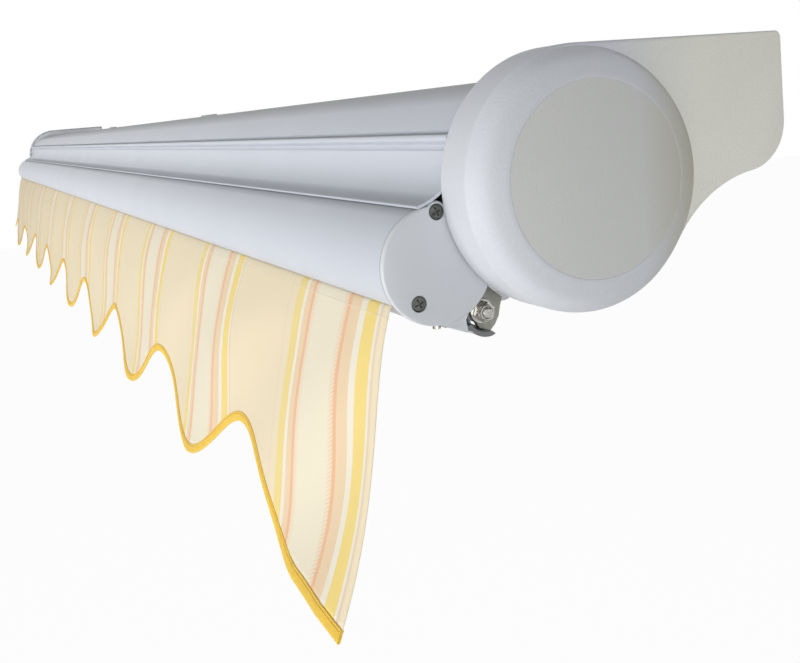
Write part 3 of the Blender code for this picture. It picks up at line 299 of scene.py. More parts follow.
def powder_coat(name, colour, dusty):
    """Baked coating: orange peel, large soft dusty patches, and painted shade on faces that look up.
    """
    coat = Finish(name, Coat_Weight=0.15)
    where, _ = coat.place()
    patches = coat.grain(where, PATCH_SCALE, 4.0)
    peel = coat.grain(where, ORANGE_PEEL_SCALE, 1.0)
    fine = coat.grain(where, 2600.0, 1.0)
    facing = coat.tree.nodes.new("ShaderNodeSeparateXYZ")
    coat.tree.links.new(coat.node("ShaderNodeNewGeometry", output="Normal"), facing.inputs[0])
    upward = ((Value(coat, facing.outputs[2]) - UPWARD_FROM) / (1 - UPWARD_FROM)).largest(0.0)
    # Painted shade: faces that look up are blended towards a dark grey, in patches
    shaded_top = coat.blend(upward * (0.75 + patches * 0.5), colour, UPWARD_PAINTED_SHADE)
    coat.set(Base_Color=coat.blend(patches * 0.25, shaded_top, dusty))
    coat.set(Roughness=COAT_ROUGHNESS + patches * 0.12 + fine * 0.04 + upward * UPWARD_ROUGHNESS)
    return coat.bump(peel + fine * 0.3, ORANGE_PEEL_DEPTH)


white_coat = powder_coat("white_powder_coat", COAT, COAT_DUSTY)
dress(white_coat, "torsion_tube", "wall_bracket_C", "bracket_clamp_C")
dress(white_coat, *both("wall_bracket", "bracket_clamp", "arm_console", "tilt_block"))
dress(white_coat, *both("upper_arm", "forearm"))

# Hood
# One aluminium extrusion, 2 mm thick, that runs over the roller: a curved top, a small bead, a
# recess and a concave visor whose lip is rolled over the front bar.
AXIS_Y = -0.178
AXIS_Z = -0.038
HOOD_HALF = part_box("hood")[1][0]
HOOD_TOP = 0.0723
HOOD_RADIUS = 0.090
HOOD_REAR = 0.092
HOOD_WALL = 0.002
HOOD_CREST = -0.010
BEAD_TIP = (-0.085, 0.0346)
BEAD = 0.0028
BEAD_ABOVE = ((0.0072, 0.0036), (0.0050, 0.0028))
BEAD_BELOW = (0.0052, -0.0046)
VISOR_FOOT = (-0.0805, 0.0274)
VISOR = ((-0.082, 0.026), (-0.081, 0.006), (-0.092, -0.003), (-0.110, -0.0085))
VISOR_STEPS = 28


def arc(centre, radius, start, end, steps):
    """Points on an arc from start to end degrees, ends included."""
    angles = [math.radians(start + (end - start) * i / steps) for i in range(steps + 1)]
    return [(centre[0] + radius * math.cos(a), centre[1] + radius * math.sin(a)) for a in angles]


def curve(points, t):
    """A point on a cubic curve."""
    a, b, c, d = (Vector(p) for p in points)
    s = 1 - t
    return a * s**3 + b * 3 * s * s * t + c * 3 * s * t * t + d * t**3


def on_axis(x, point):
    """A point of a section across the roller, measured from the roller's axis."""
    return Vector((x, AXIS_Y + point[0], AXIS_Z + point[1]))


def ring(bm, x, points):
    """A ring of verts at one x."""
    return [bm.verts.new(on_axis(x, p)) for p in points]


def bridge(bm, one, two):
    """Faces between two closed rings of equal length."""
    for i in range(len(one)):
        j = (i + 1) % len(one)
        bm.faces.new((one[i], one[j], two[j], two[i]))


def edges_round(bm, verts):
    """The edges of a closed ring, made where they are missing."""
    pairs = zip(verts, verts[1:] + verts[:1])
    return [bm.edges.get(pair) or bm.edges.new(pair) for pair in pairs]


def fill(bm, edges):
    """Triangles over the area that closed rows of edges bound."""
    made = bmesh.ops.triangle_fill(bm, edges=edges, use_beauty=True, use_dissolve=False)
    return [item for item in made["geom"] if isinstance(item, bmesh.types.BMFace)]


def extrusion(loops, low, high, end_material=0):
    """A closed bar with this section along X. Its sawn ends may have another material."""
    bm = bmesh.new()
    ends = ([], [])
    for loop in loops:
        pair = [ring(bm, x, loop) for x in (low, high)]
        bridge(bm, *pair)
        for edges, verts in zip(ends, pair):
            edges += edges_round(bm, verts)
    for edges in ends:
        for face in fill(bm, edges):
            face.material_index = end_material
    bmesh.ops.recalc_face_normals(bm, faces=bm.faces[:])
    return bm


def hood_section():
    """Outside of the hood from its rear lip to the visor's, then back along the inside."""
    path = [(HOOD_REAR, HOOD_TOP - 0.010), (HOOD_REAR, HOOD_TOP - 0.001)]
    path.append((HOOD_REAR - 0.001, HOOD_TOP))
    path += arc((HOOD_CREST, HOOD_TOP - HOOD_RADIUS), HOOD_RADIUS, 90, 140, 40)
    path += [(BEAD_TIP[0] + y, BEAD_TIP[1] + z) for y, z in BEAD_ABOVE]
    path += arc((BEAD_TIP[0] + BEAD, BEAD_TIP[1]), BEAD, 100, 250, 14)
    path.append((BEAD_TIP[0] + BEAD_BELOW[0], BEAD_TIP[1] + BEAD_BELOW[1]))
    path.append(VISOR_FOOT)
    path += [tuple(curve(VISOR, i / VISOR_STEPS)) for i in range(VISOR_STEPS + 1)]
    inside = []
    for i, point in enumerate(path):
        along = (Vector(path[min(i + 1, len(path) - 1)]) - Vector(path[max(i - 1, 0)])).normalized()
        inside.append((point[0] - along.y * HOOD_WALL, point[1] + along.x * HOOD_WALL))
    middle = ((path[-1][0] + inside[-1][0]) / 2, (path[-1][1] + inside[-1][1]) / 2)
    facing = math.degrees(math.atan2(path[-1][1] - middle[1], path[-1][0] - middle[0]))
    lip = arc(middle, HOOD_WALL / 2, facing, facing + 180, 6)[1:-1]
    return path + lip + inside[::-1]


hood = add_piece("hood_shell", extrusion([hood_section()], -HOOD_HALF, HOOD_HALF), white_coat,
                 "cassette", 38)
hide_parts("hood")

# Front bar
# An aluminium extrusion with a round nose, two slots for the cloths' rods and an open hinge
# socket along its back. It is coated like the hood, and its sawn ends show the bare metal.
BAR_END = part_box("front_bar")[1][0]
BAR_CENTRE = (-0.097, -0.0505)
BAR_RADIUS = 0.0415
BAR_WALL = 0.0025
SLOT_RADIUS = 0.0032
SLOT_DEPTH = 0.0045
SLOT_HALF = 0.0012
VALANCE_SLOT = 215.5
CANOPY_SLOT = 64.0
SKIN_STEP_BACK = 0.0012
STEP_BACK_END = 260.0
POCKET_WALL = 0.002
SOCKET = (-0.0609, -0.0888)
SOCKET_RADIUS = 0.014
HOOK_RADIUS = 0.0172
HOOK_TIP = (0.0058, -0.0158)
WEDGE_TIP = (-0.0785, -0.0960)


def slot(angle, radius, mouth):
    """A round pocket below the bar's skin, open towards the outside."""
    depth = BAR_RADIUS - SLOT_DEPTH
    a = math.radians(angle)
    centre = (BAR_CENTRE[0] + depth * math.cos(a), BAR_CENTRE[1] + depth * math.sin(a))
    return arc(centre, radius, angle - mouth, angle - 360 + mouth, 20)


def skin(radius, start, end):
    """Part of the bar's round skin, about 3 degrees to a step."""
    return arc(BAR_CENTRE, radius, start, end, max(1, round(abs(end - start) / 3)))


def bar_section():
    """Outside and chambers of the front bar."""
    lip = math.degrees(math.asin(SLOT_HALF / BAR_RADIUS))
    mouth = math.degrees(math.asin(SLOT_HALF / SLOT_RADIUS))
    outside = skin(BAR_RADIUS, CANOPY_SLOT + lip, VALANCE_SLOT - lip)
    outside += slot(VALANCE_SLOT, SLOT_RADIUS, mouth)
    outside += skin(BAR_RADIUS - SKIN_STEP_BACK, VALANCE_SLOT + lip + 1.0, STEP_BACK_END)
    outside += arc(SOCKET, HOOK_RADIUS, 222, 280, 16)
    outside.append((SOCKET[0] + HOOK_TIP[0], SOCKET[1] + HOOK_TIP[1]))
    outside += arc(SOCKET, SOCKET_RADIUS, 284, 172, 24)
    outside += skin(BAR_RADIUS, -54, CANOPY_SLOT - lip)
    outside += slot(CANOPY_SLOT, SLOT_RADIUS, mouth)
    inner = BAR_RADIUS - BAR_WALL
    pocket = SLOT_RADIUS + POCKET_WALL
    depth = BAR_RADIUS - SLOT_DEPTH
    bend = math.degrees(math.acos((inner**2 - depth**2 - pocket**2) / (2 * depth * pocket)))
    reach = math.radians(bend)
    clear = math.degrees(math.atan2(pocket * math.sin(reach), depth + pocket * math.cos(reach)))
    chamber = skin(inner, CANOPY_SLOT + clear, VALANCE_SLOT - clear)[1:-1]
    chamber += slot(VALANCE_SLOT, pocket, bend)
    chamber += skin(inner, VALANCE_SLOT + clear, 360 + CANOPY_SLOT - clear)[1:-1]
    chamber += slot(CANOPY_SLOT, pocket, bend)
    wedge = skin(BAR_RADIUS + BAR_WALL, 274, 298)
    wedge.append((SOCKET[0] - SOCKET_RADIUS - 0.003, SOCKET[1] - 0.002))
    wedge.append(WEDGE_TIP)
    return outside, chamber, wedge


sawn = Finish("sawn_aluminium", Metallic=0.7, Roughness=0.5)
where, _ = sawn.place()
saw_marks = {"Vector": where, "Scale": (1.0, 300.0, 3000.0)}
scratches = sawn.grain(sawn.node("ShaderNodeMapping", {}, saw_marks), 1.0)
sawn.set(Base_Color=sawn.blend(scratches, (0.13, 0.13, 0.135), (0.22, 0.22, 0.225)))
sawn.bump(scratches, 0.00005)
bar = add_piece("front_bar_profile", extrusion(bar_section(), -BAR_END, BAR_END, 1), white_coat,
                "front_bar", 38)
bar.data.materials.append(sawn.material)
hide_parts("front_bar")

# End castings of the arms, knuckles, end plates and hood ribs
# Die-cast aluminium alloy, shot blasted and left bare.
# The skin is a dull grey with a fine peened texture and paler worn patches.
ALLOY = (0.60, 0.61, 0.63)
ALLOY_DARK = (0.42, 0.43, 0.45)

cast_alloy = Finish("cast_alloy", Metallic=0.85)
where, _ = cast_alloy.place()
peened = cast_alloy.grain(where, 1400.0, 2.0)
stains = cast_alloy.grain(where, 35.0, 5.0)
cast_alloy.set(Base_Color=cast_alloy.blend(stains, ALLOY_DARK, ALLOY), Roughness=0.38 + stains * 0.2)
cast_alloy.bump(peened, 0.00012)
dress(cast_alloy, *both("shoulder_head", "elbow_fork", "elbow_tongue", "wrist_head"))
dress(cast_alloy, *both("knuckle", "end_plate", "hood_support"))

# Pins, bolts, nuts and the roller tube
# Turned or rolled steel, zinc plated and passivated to a yellowish silver.
# Turning leaves fine marks, and the plating is mottled.
ZINC = (0.66, 0.64, 0.56)
ZINC_DULL = (0.40, 0.38, 0.31)


def plated(name, bright, dull, roughness):
    """Plated steel with mottled passivation and fine tool marks."""
    steel = Finish(name, Metallic=1.0)
    where, _ = steel.place()
    mottle = steel.grain(where, 260.0, 4.0)
    marks = steel.grain(where, 3200.0, 1.0)
    steel.set(Base_Color=steel.blend(mottle, dull, bright), Roughness=roughness + mottle * 0.18)
    return steel.bump(marks, 0.00003)


zinc_plate = plated("zinc_plate", ZINC, ZINC_DULL, 0.26)
bright_zinc = plated("bright_zinc", (0.66, 0.65, 0.63), (0.30, 0.29, 0.25), 0.20)
olive_plate = plated("olive_plate", (0.34, 0.34, 0.31), (0.20, 0.20, 0.18), 0.34)
dress(zinc_plate, "roller_tube", *both("tilt_bolt", "shoulder_pin", "elbow_pin", "wrist_pin"))

# Motor casing, plug, bearing and drive wheel
# Glass-filled nylon, moulded in black, with a slightly cloudy surface.
# All of it is hidden inside the roller and the caps.
black_nylon = Finish("black_nylon", Base_Color=(0.022, 0.022, 0.024))
where, _ = black_nylon.place()
clouds = black_nylon.grain(where, 120.0, 3.0)
black_nylon.set(Roughness=0.42 + clouds * 0.16)
black_nylon.bump(black_nylon.grain(where, 1800.0, 1.0), 0.00005)
dress(black_nylon, "tube_motor", "drive_wheel", "idler_bearing", "roller_plug")

# Sewn-in rods
# Extruded plastic rods that hold the cloth's edges in the bar's grooves.
# They show only at the bar's ends.
rod_plastic = Finish("rod_plastic", Base_Color=(0.78, 0.75, 0.66))
where, _ = rod_plastic.place()
rod_plastic.set(Roughness=0.4 + rod_plastic.grain(where, 400.0) * 0.2)
rod_plastic.bump(rod_plastic.grain(where, 900.0), 0.00004)
dress(rod_plastic, "valance_keder", "canopy_keder")

# End caps
# One moulding for each end: a deep skirt in the form of a comma, a rounded shoulder round the
# drum and a flat tail that reaches the wall. It is fine-grained and bluish white. Painted light
# makes the flat tail lighter and warmer, and painted shade darkens the drum to olive towards its back.
CAP_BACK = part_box("end_cap_R")[0][0]
DISC_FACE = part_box("end_cap_R")[1][0]
CAP_FRONT = DISC_FACE - 0.016
DRUM_RADIUS = 0.0915
DISC_RADIUS = 0.0665
CAP_WALL = 0.003
TAIL_EDGE = 0.177
TAIL_CORNER = 0.036
TAIL_BOTTOM = -0.009
TAIL_HOLLOW = 0.100
CAP_SHOULDER = ((0.0, 0.0030), (0.0003, 0.0018), (0.0011, 0.0006), (0.0024, 0.0))
CAP_INNER_SINK = 0.002
DRUM_STEPS = 96
DRUM_SHARE = 0.75
DOME_STEPS = 16
DOME_KNEE = (-0.0090, 0.0114)
DISC_LAP = 0.0015
DISC_RECESS = ((0.0006, 0.0), (0.0003, 0.0003), (0.0003, 0.0023))
TOP_CORNER = 0.004
CAP_WHITE = (0.64, 0.655, 0.695)
# Painted shade towards the back of the drum
CAP_BACK_SHADE = (0.42, 0.385, 0.24)
# Painted light on the flat tail
CAP_TAIL_PAINTED_LIGHT = (0.85, 0.84, 0.74)
CAP_SPECK = (0.44, 0.46, 0.48)
TINT_EDGE = 0.0008
TAIL_LIGHT_FADE = (0.020, 0.075)
BACK_SHADE_FADE = (0.035, 0.055)


def comma(inset):
    """The cap's outline less the inset, and how many of its points belong to the drum."""
    drum = DRUM_RADIUS - inset
    corner = TAIL_CORNER - inset
    hollow = TAIL_HOLLOW + inset
    wall = TAIL_EDGE - inset
    corner_at = Vector((wall - corner, TAIL_BOTTOM + TAIL_CORNER))
    distance = corner_at.length
    along = ((drum + hollow) ** 2 - (corner + hollow) ** 2 + distance**2) / (2 * distance)
    aside = math.sqrt((drum + hollow) ** 2 - along**2)
    way = corner_at.normalized()
    hollow_at = way * along + Vector((way.y, -way.x)) * aside
    foot = math.degrees(math.atan2(hollow_at.y, hollow_at.x))
    to_corner = corner_at - hollow_at
    turn = math.degrees(math.atan2(to_corner.y, to_corner.x))
    drum_part = arc((0, 0), drum, 90, 360 + foot, DRUM_STEPS)
    tail = arc(hollow_at, hollow, foot + 180, turn, 16)[1:]
    tail += arc(corner_at, corner, turn - 180, 0, 16)[1:]
    tail += arc((wall - TOP_CORNER, drum - TOP_CORNER), TOP_CORNER, 0, 90, 6)
    return drum_part + tail, len(drum_part), foot


def held(value):
    """The value kept between 0 and 1."""
    return max(0.0, min(1.0, value))


def eased(value):
    """A smooth step from 0 to 1."""
    t = held(value)
    return t * t * (3 - 2 * t)


def skinned(bm, rings, ends=(0, -1)):
    """Faces between rings in a row, and over the rings that are listed as ends."""
    for one, two in zip(rings, rings[1:]):
        bridge(bm, one, two)
    for end in ends:
        bm.faces.new(rings[end])


def fuller(outline, drum_count, inset):
    """The outline with most of its inset taken back round the drum, where the shoulder is soft."""
    grown = list(outline)
    for k in range(drum_count):
        share = eased(min(k, drum_count - 1 - k) / 12)
        length = math.hypot(*outline[k])
        grown[k] = tuple(c * (1 + DRUM_SHARE * inset * share / length) for c in outline[k])
    return grown


def at_angles(bm, x, angles, radii):
    """A ring of verts round the drum, each at its own angle and radius."""
    return ring(bm, x, [(r * math.cos(a), r * math.sin(a)) for a, r in zip(angles, radii)])


def cap_shell():
    """Outer and inner skins of the right cap, joined round the rim and closed behind the disc."""
    bm = bmesh.new()
    rims = []
    for wall, sink in ((0.0, 0.0), (CAP_WALL, CAP_INNER_SINK)):
        front = CAP_FRONT - wall * 0.4
        steps = [(0.0, CAP_BACK)] + [(inset, front - back) for inset, back in CAP_SHOULDER]
        rings = []
        for inset, x in steps:
            outline, drum_count, foot = comma(wall + inset)
            rings.append(ring(bm, x, fuller(outline, drum_count, inset)))
        skinned(bm, rings, ends=())
        edge = rings[-1]
        start_radius = DRUM_RADIUS - wall - CAP_SHOULDER[-1][0]
        seam = ring(bm, front, arc((0, 0), start_radius, foot, 90, 48)[1:-1])
        bm.faces.new(edge[drum_count - 1:] + [edge[0]] + seam[::-1])
        dome = [edge[:drum_count] + seam]
        angles = [math.atan2(v.co.z - AXIS_Z, v.co.y - AXIS_Y) for v in dome[0]]
        starts = [math.hypot(v.co.y - AXIS_Y, v.co.z - AXIS_Z) for v in dome[0]]
        end = (DISC_RADIUS + DISC_LAP - wall, DISC_FACE - wall - sink)
        knee = (DRUM_RADIUS - wall + DOME_KNEE[0], front + DOME_KNEE[1] - sink)
        for step in range(1, DOME_STEPS + 1):
            t = step / DOME_STEPS
            s = 1 - t
            x = front * s**3 + knee[1] * 3 * s * t + end[1] * t**3
            radii = []
            for start in starts:
                lean = knee[0] + (start - start_radius) * 0.5
                radii.append(start * s**3 + lean * 3 * s * t + end[0] * t**3)
            dome.append(at_angles(bm, x, angles, radii))
        skinned(bm, dome, ends=())
        rims.append((rings[0], dome[-1], angles))
    bridge(bm, rims[1][0], rims[0][0])
    recess, angles = [rims[0][1]], rims[0][2]
    for past, depth in DISC_RECESS:
        radii = [DISC_RADIUS + past] * len(angles)
        recess.append(at_angles(bm, DISC_FACE - depth, angles, radii))
    skinned(bm, recess, ends=(-1,))
    bm.faces.new(rims[1][1])
    return bm


def at_both_ends(*pieces):
    """Pieces of the right end, and then the same mirrored for the left end."""
    for side in ("R", "L"):
        for name, form, finish, body, slot, smooth, replaced in pieces:
            bm = form()
            bmesh.ops.recalc_face_normals(bm, faces=bm.faces[:])
            if side == "L":
                bmesh.ops.scale(bm, vec=(-1, 1, 1), verts=bm.verts[:])
                bmesh.ops.reverse_faces(bm, faces=bm.faces[:])
            piece = add_piece(name + "_" + side, bm, finish, body, smooth)
            if replaced:
                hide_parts(replaced + "_" + side)


def moulded(name, colour, tail_lit_colour):
    """Moulded plastic with a spark-eroded grain, painted light on its flat tail and painted shade
    towards the back.
    """
    plastic = Finish(name)
    where, (x, y, _) = plastic.place()
    coarse = plastic.grain(where, 620.0, 2.0)
    fine = plastic.grain(where, 1500.0, 2.0)
    clouds = plastic.grain(where, 14.0, 4.0)
    back = y - AXIS_Y
    out = x.size()
    past_flat = out.above(CAP_FRONT + TINT_EDGE)
    on_flat = out.below(CAP_FRONT + TINT_EDGE) * out.above(CAP_FRONT - 0.001)
    # Painted light: on the flat tail the colour grows lighter and warmer towards the back
    flat = ((back - TAIL_LIGHT_FADE[0]) / TAIL_LIGHT_FADE[1]) * on_flat
    # Painted shade: past the flat face the drum darkens to olive towards the back
    back_shade = ((back - BACK_SHADE_FADE[0]) / BACK_SHADE_FADE[1]).largest(0.0) * past_flat
    tint = plastic.blend(flat, plastic.blend(back_shade, colour, CAP_BACK_SHADE), tail_lit_colour)
    plastic.set(Base_Color=plastic.blend(clouds * 0.12 + coarse * 0.34, tint, CAP_SPECK))
    plastic.set(Roughness=0.46 + fine * 0.14)
    return plastic.bump(coarse * 0.6 + fine * 0.4, 0.00020)


cap_plastic = moulded("cap_plastic", CAP_WHITE, CAP_TAIL_PAINTED_LIGHT)
at_both_ends(("end_cap_shell", cap_shell, cap_plastic, "cassette", "cap_white", 30, "end_cap"))

# Discs in the caps
# A flat round moulding that snaps into the drum's recess, with a softly broken edge.
# It has the cap's fine grain, in a warmer grey that is painted light, as on the cap's flat tail.
# Painted light: the disc's grey is warmer than the cap's
DISC_LIT_GREY = (0.62, 0.625, 0.60)
DISC_FIT = DISC_RADIUS + 0.00045
DISC_RIM = (
    (DISC_FIT, 0.002), (DISC_FIT, 0.0004), (DISC_FIT - 0.0002, 0.0001), (DISC_FIT - 0.0005, 0.0),
)


def round_points(centre, radius, sides, turn=0.0):
    """Points once round a circle, from turn degrees on."""
    return arc(centre, radius, turn, 360 + turn, sides)[:-1]


def lathe(bm, centre, face, profile, sides, turn=0.0, ends=(0, -1)):
    """A turned form about an axis along X, from radii and their depths below a face."""
    rings = [ring(bm, face - depth, round_points(centre, r, sides, turn)) for r, depth in profile]
    skinned(bm, rings, ends)
    return rings


def disc_form():
    """The disc as rings from its back to the edge of its face."""
    bm = bmesh.new()
    lathe(bm, (0, 0), DISC_FACE, DISC_RIM, 120)
    return bm


disc_plastic = moulded("disc_plastic", DISC_LIT_GREY, DISC_LIT_GREY)
at_both_ends(("cap_disc_face", disc_form, disc_plastic, "cassette", "disc_grey", 30, "cap_disc"))

# End caps of the front bar
# A round cast plate with a bevelled rim closes each end of the bar, coated like the bar but
# painted a little lighter, as painted light on its end face. It has a small boss round its upper
# screw and a lobe in front of the hinge socket.
# Two countersunk cross-head screws hold it, with dark plated heads a little below the face.
PLATE = 0.004
BAR_CAP_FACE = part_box("bar_cap_R")[1][0]
BAR_CAP_BACK = BAR_CAP_FACE - PLATE
PLATE_RIM = (
    (0.0002, PLATE), (0.0, 0.0038), (0.0, 0.0019), (0.0002, 0.0012), (0.0005, 0.0006),
    (0.0010, 0.0002), (0.0014, 0.0),
)
LOBE = (
    (-0.1020, -0.0905), (-0.0774, -0.1003), (-0.0787, -0.0908), (-0.0739, -0.0823),
    (-0.0900, -0.0850),
)
LOBE_CENTRE = (-0.0850, -0.0900)
LOBE_RIM = ((0.0, PLATE), (0.0, 0.0018), (0.03, 0.0013))
SCREWS_AT = ((-0.0953, -0.0139), (-0.1135, -0.0745))
SCREW_HOLE = ((0.0059, 0.0), (0.0057, 0.0003), (0.0056, 0.0022))
SCREW_HEAD = ((0.0020, 0.0019), (0.0050, 0.0015), (0.0054, 0.0007), (0.0046, 0.0))
SCREW_SUNK = 0.0001
CROSS_ARM = 0.0034
CROSS_HALF = 0.0006
CROSS_DEPTH = 0.0011
CROSS_TURN = 22
BOSS = 0.0076

# Painted light: the plate's coat is lighter than the bar's coat
bar_cap_lit_coat = powder_coat("bar_cap_lit_coat", (0.60, 0.62, 0.65), (0.55, 0.57, 0.60))


def plate_outline(inset):
    """Round outline with a small boss round the upper screw, moved in by inset."""
    arm = Vector(SCREWS_AT[0]) - Vector(BAR_CENTRE)
    points = []
    for i in range(240):
        a = math.radians(1.5 * i)
        along = Vector((math.cos(a), math.sin(a)))
        reach = BAR_RADIUS
        beside = arm.x * along.y - arm.y * along.x
        if arm.dot(along) > 0 and abs(beside) < BOSS:
            reach = max(reach, arm.dot(along) + math.sqrt(BOSS**2 - beside**2))
        points.append(tuple(Vector(BAR_CENTRE) + along * (reach - inset)))
    return points


def bar_cap_form():
    """Bevelled plate with countersunk holes, its face filled round the holes."""
    bm = bmesh.new()
    rings = [ring(bm, BAR_CAP_FACE - depth, plate_outline(inset)) for inset, depth in PLATE_RIM]
    skinned(bm, rings, ends=(0,))
    edges = edges_round(bm, rings[-1])
    for spot in SCREWS_AT:
        edges += edges_round(bm, lathe(bm, spot, BAR_CAP_FACE, SCREW_HOLE, 36, ends=(-1,))[0])
    fill(bm, edges)
    return bm


def drawn_in(points, centre, share):
    """Points moved towards a centre by a share of their distance."""
    return [(p[0] + (centre[0] - p[0]) * share, p[1] + (centre[1] - p[1]) * share) for p in points]


def bar_cap_tab():
    """Lobe beside the round plate that covers the wedge in front of the hinge socket."""
    bm = bmesh.new()
    skinned(bm, [ring(bm, BAR_CAP_FACE - depth, drawn_in(LOBE, LOBE_CENTRE, share))
                 for share, depth in LOBE_RIM])
    return bm


def screw_heads():
    """Flat heads with a broken edge and a cross recess, each with the start of its shank."""
    bm = bmesh.new()
    face = BAR_CAP_FACE - SCREW_SUNK
    corners = ((CROSS_ARM, -CROSS_HALF), (CROSS_ARM, CROSS_HALF), (CROSS_HALF, CROSS_HALF))
    for spot in SCREWS_AT:
        head = lathe(bm, spot, face, SCREW_HEAD, 32, ends=(0,))
        cross = []
        for quarter in range(4):
            a = math.radians(90 * quarter + CROSS_TURN)
            for along, across in corners:
                cross.append((spot[0] + along * math.cos(a) - across * math.sin(a),
                              spot[1] + along * math.sin(a) + across * math.cos(a)))
        mouth = ring(bm, face, cross)
        well = ring(bm, face - CROSS_DEPTH, drawn_in(cross, spot, 0.28))
        skinned(bm, [mouth, well], ends=(-1,))
        fill(bm, edges_round(bm, head[-1]) + edges_round(bm, mouth))
    return bm


screw_steel = plated("screw_steel", (0.17, 0.18, 0.165), (0.06, 0.065, 0.06), 0.26)
at_both_ends(
    ("bar_cap_plate", bar_cap_form, bar_cap_lit_coat, "front_bar", "white_coat_aluminium", 35, "bar_cap"),
    ("bar_cap_tab", bar_cap_tab, bar_cap_lit_coat, "front_bar", "white_coat_aluminium", 30, "bar_cap"),
    ("bar_cap_screws", screw_heads, screw_steel, "front_bar", "dark_zinc", 30, ""),
)

# Hinge carriers of the front bar
# A bent steel cradle lies in the bar's socket near each end, with a cheek at either side of the
# arm's knuckle. It is plated a dull olive, and the cheeks' edges are lightly broken.
CARRIER_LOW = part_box("bar_carrier_R")[0][0]
CARRIER_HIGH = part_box("bar_carrier_R")[1][0]
CHEEK = 0.004
CHEEK_BREAK = 0.0005
CRADLE = (SOCKET_RADIUS - 0.0004, SOCKET_RADIUS - 0.0024)
FAR_DISC_RADIUS = 0.0134
FAR_DISC_INSET = 0.0006
CHEEK_OUTLINE = (
    (-0.0538, -0.0720), (-0.0428, -0.0814), (-0.0450, -0.0878), (-0.0466, -0.0946),
    (-0.0500, -0.1002), (-0.0544, -0.1044), (-0.0629, -0.1014), (-0.0706, -0.0872),
    (-0.0724, -0.0800), (-0.0660, -0.0720),
)


def prism(bm, outline, low, high, broken):
    """A plate between two places along X, its edges broken by a small bevel."""
    centre = sum((Vector(p) for p in outline), Vector((0, 0))) / len(outline)
    rings = []
    for inset, x in ((broken, low), (0.0, low + broken), (0.0, high - broken), (broken, high)):
        points = [tuple(Vector(p) - (Vector(p) - centre).normalized() * inset) for p in outline]
        rings.append(ring(bm, x, points))
    skinned(bm, rings)


def carrier_form():
    """The cradle, a cheek at either side of the knuckle, and a disc that fills the far cheek."""
    bm = bmesh.new()
    cradle = arc(SOCKET, CRADLE[0], 176, 268, 16) + arc(SOCKET, CRADLE[1], 268, 176, 16)
    near_cheek = CARRIER_HIGH - CHEEK
    far_cheek = CARRIER_LOW + CHEEK
    far_disc = round_points(SOCKET, FAR_DISC_RADIUS, 40)
    prism(bm, cradle, far_cheek, near_cheek, 0.0)
    prism(bm, CHEEK_OUTLINE, CARRIER_LOW, far_cheek, CHEEK_BREAK)
    prism(bm, far_disc, CARRIER_LOW + FAR_DISC_INSET, far_cheek - FAR_DISC_INSET, 0.0)
    prism(bm, CHEEK_OUTLINE, near_cheek, CARRIER_HIGH, CHEEK_BREAK)
    return bm


at_both_ends(("hinge_carrier", carrier_form, olive_plate, "front_bar", "dark_zinc", 25, "bar_carrier"))

# Hinge bolt of the front bar, with its washer and lock nut
# An M6 bolt runs through the carrier's cheeks and the arm's knuckle. Its zinc-plated lock nut,
# with a rolled collar over the nylon ring, and a plain washer show beside the bar's end cap.
WASHER_RADIUS = 0.0090
WASHER_HEIGHT = 0.0016
WASHER_SIT = 0.0003
NUT_FLATS = 0.0125
NUT_HEIGHT = 0.0085
NUT_TURN = 17
COLLAR = ((0.0058, 0.0022), (0.0057, 0.0008), (0.0052, 0.0001), (0.0044, 0.0), (0.0037, 0.0008))
BOLT_RADIUS = 0.0033
BOLT_PITCH = 0.0010
THREAD_DEPTH = 0.0004
BOLT_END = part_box("knuckle_bolt_R")[1][0] + 0.0036
BOLT_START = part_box("knuckle_bolt_R")[0][0]


def bolt_form():
    """Washer, hexagon with chamfered corners, collar and threaded end."""
    bm = bmesh.new()
    face = CARRIER_HIGH + WASHER_SIT
    seat = face + WASHER_HEIGHT
    top = seat + NUT_HEIGHT
    corner = NUT_FLATS / math.sqrt(3)
    lathe(bm, SOCKET, seat, ((WASHER_RADIUS - 0.0002, WASHER_HEIGHT), (WASHER_RADIUS, 0.0013),
                             (WASHER_RADIUS, 0.0003), (WASHER_RADIUS - 0.0003, 0.0)), 48)
    lathe(bm, SOCKET, top, ((corner * 0.93, NUT_HEIGHT), (corner, NUT_HEIGHT - 0.0006),
                            (corner, 0.0022), (corner * 0.90, 0.0015)), 6, NUT_TURN)
    lathe(bm, SOCKET, top, COLLAR, 40)
    x = top - BOLT_PITCH
    thread = [(BOLT_RADIUS, -x)]
    while x < BOLT_END - BOLT_PITCH:
        thread.append((BOLT_RADIUS - THREAD_DEPTH, -x - BOLT_PITCH / 2))
        x += BOLT_PITCH
        thread.append((BOLT_RADIUS, -x))
    thread.append((BOLT_RADIUS - 0.0007, -BOLT_END))
    lathe(bm, SOCKET, 0.0, thread, 32)
    lathe(bm, SOCKET, BOLT_START, ((BOLT_RADIUS, -0.002), (BOLT_RADIUS, BOLT_START - face)), 24)
    lathe(bm, SOCKET, BOLT_START, ((corner * 0.94, 0.0), (corner, -0.0005), (corner, -0.0025)), 6)
    return bm


at_both_ends(("hinge_bolt", bolt_form, bright_zinc, "front_bar", "zinc", 30, "knuckle_bolt"))

# Grub screw under the bar
# A small plated screw near each end locks the rod of the valance in its groove.
# It stands out of the bar's underside by a few millimetres.
GRUB_AT = (BAR_CAP_BACK - 0.007, -0.0970, -0.0925)
GRUB_PROFILE = ((0.00232, -0.0032), (0.0029, -0.0028), (0.0029, 0.0007))


def grub_form():
    """An upright stud with a broken lower edge."""
    bm = bmesh.new()
    skinned(bm, [[bm.verts.new(on_axis(x, (y, GRUB_AT[2] + height)))
                  for x, y in round_points(GRUB_AT[:2], radius, 24)]
                 for radius, height in GRUB_PROFILE])
    return bm


at_both_ends(("bar_grub", grub_form, bright_zinc, "front_bar", "zinc", 30, ""))

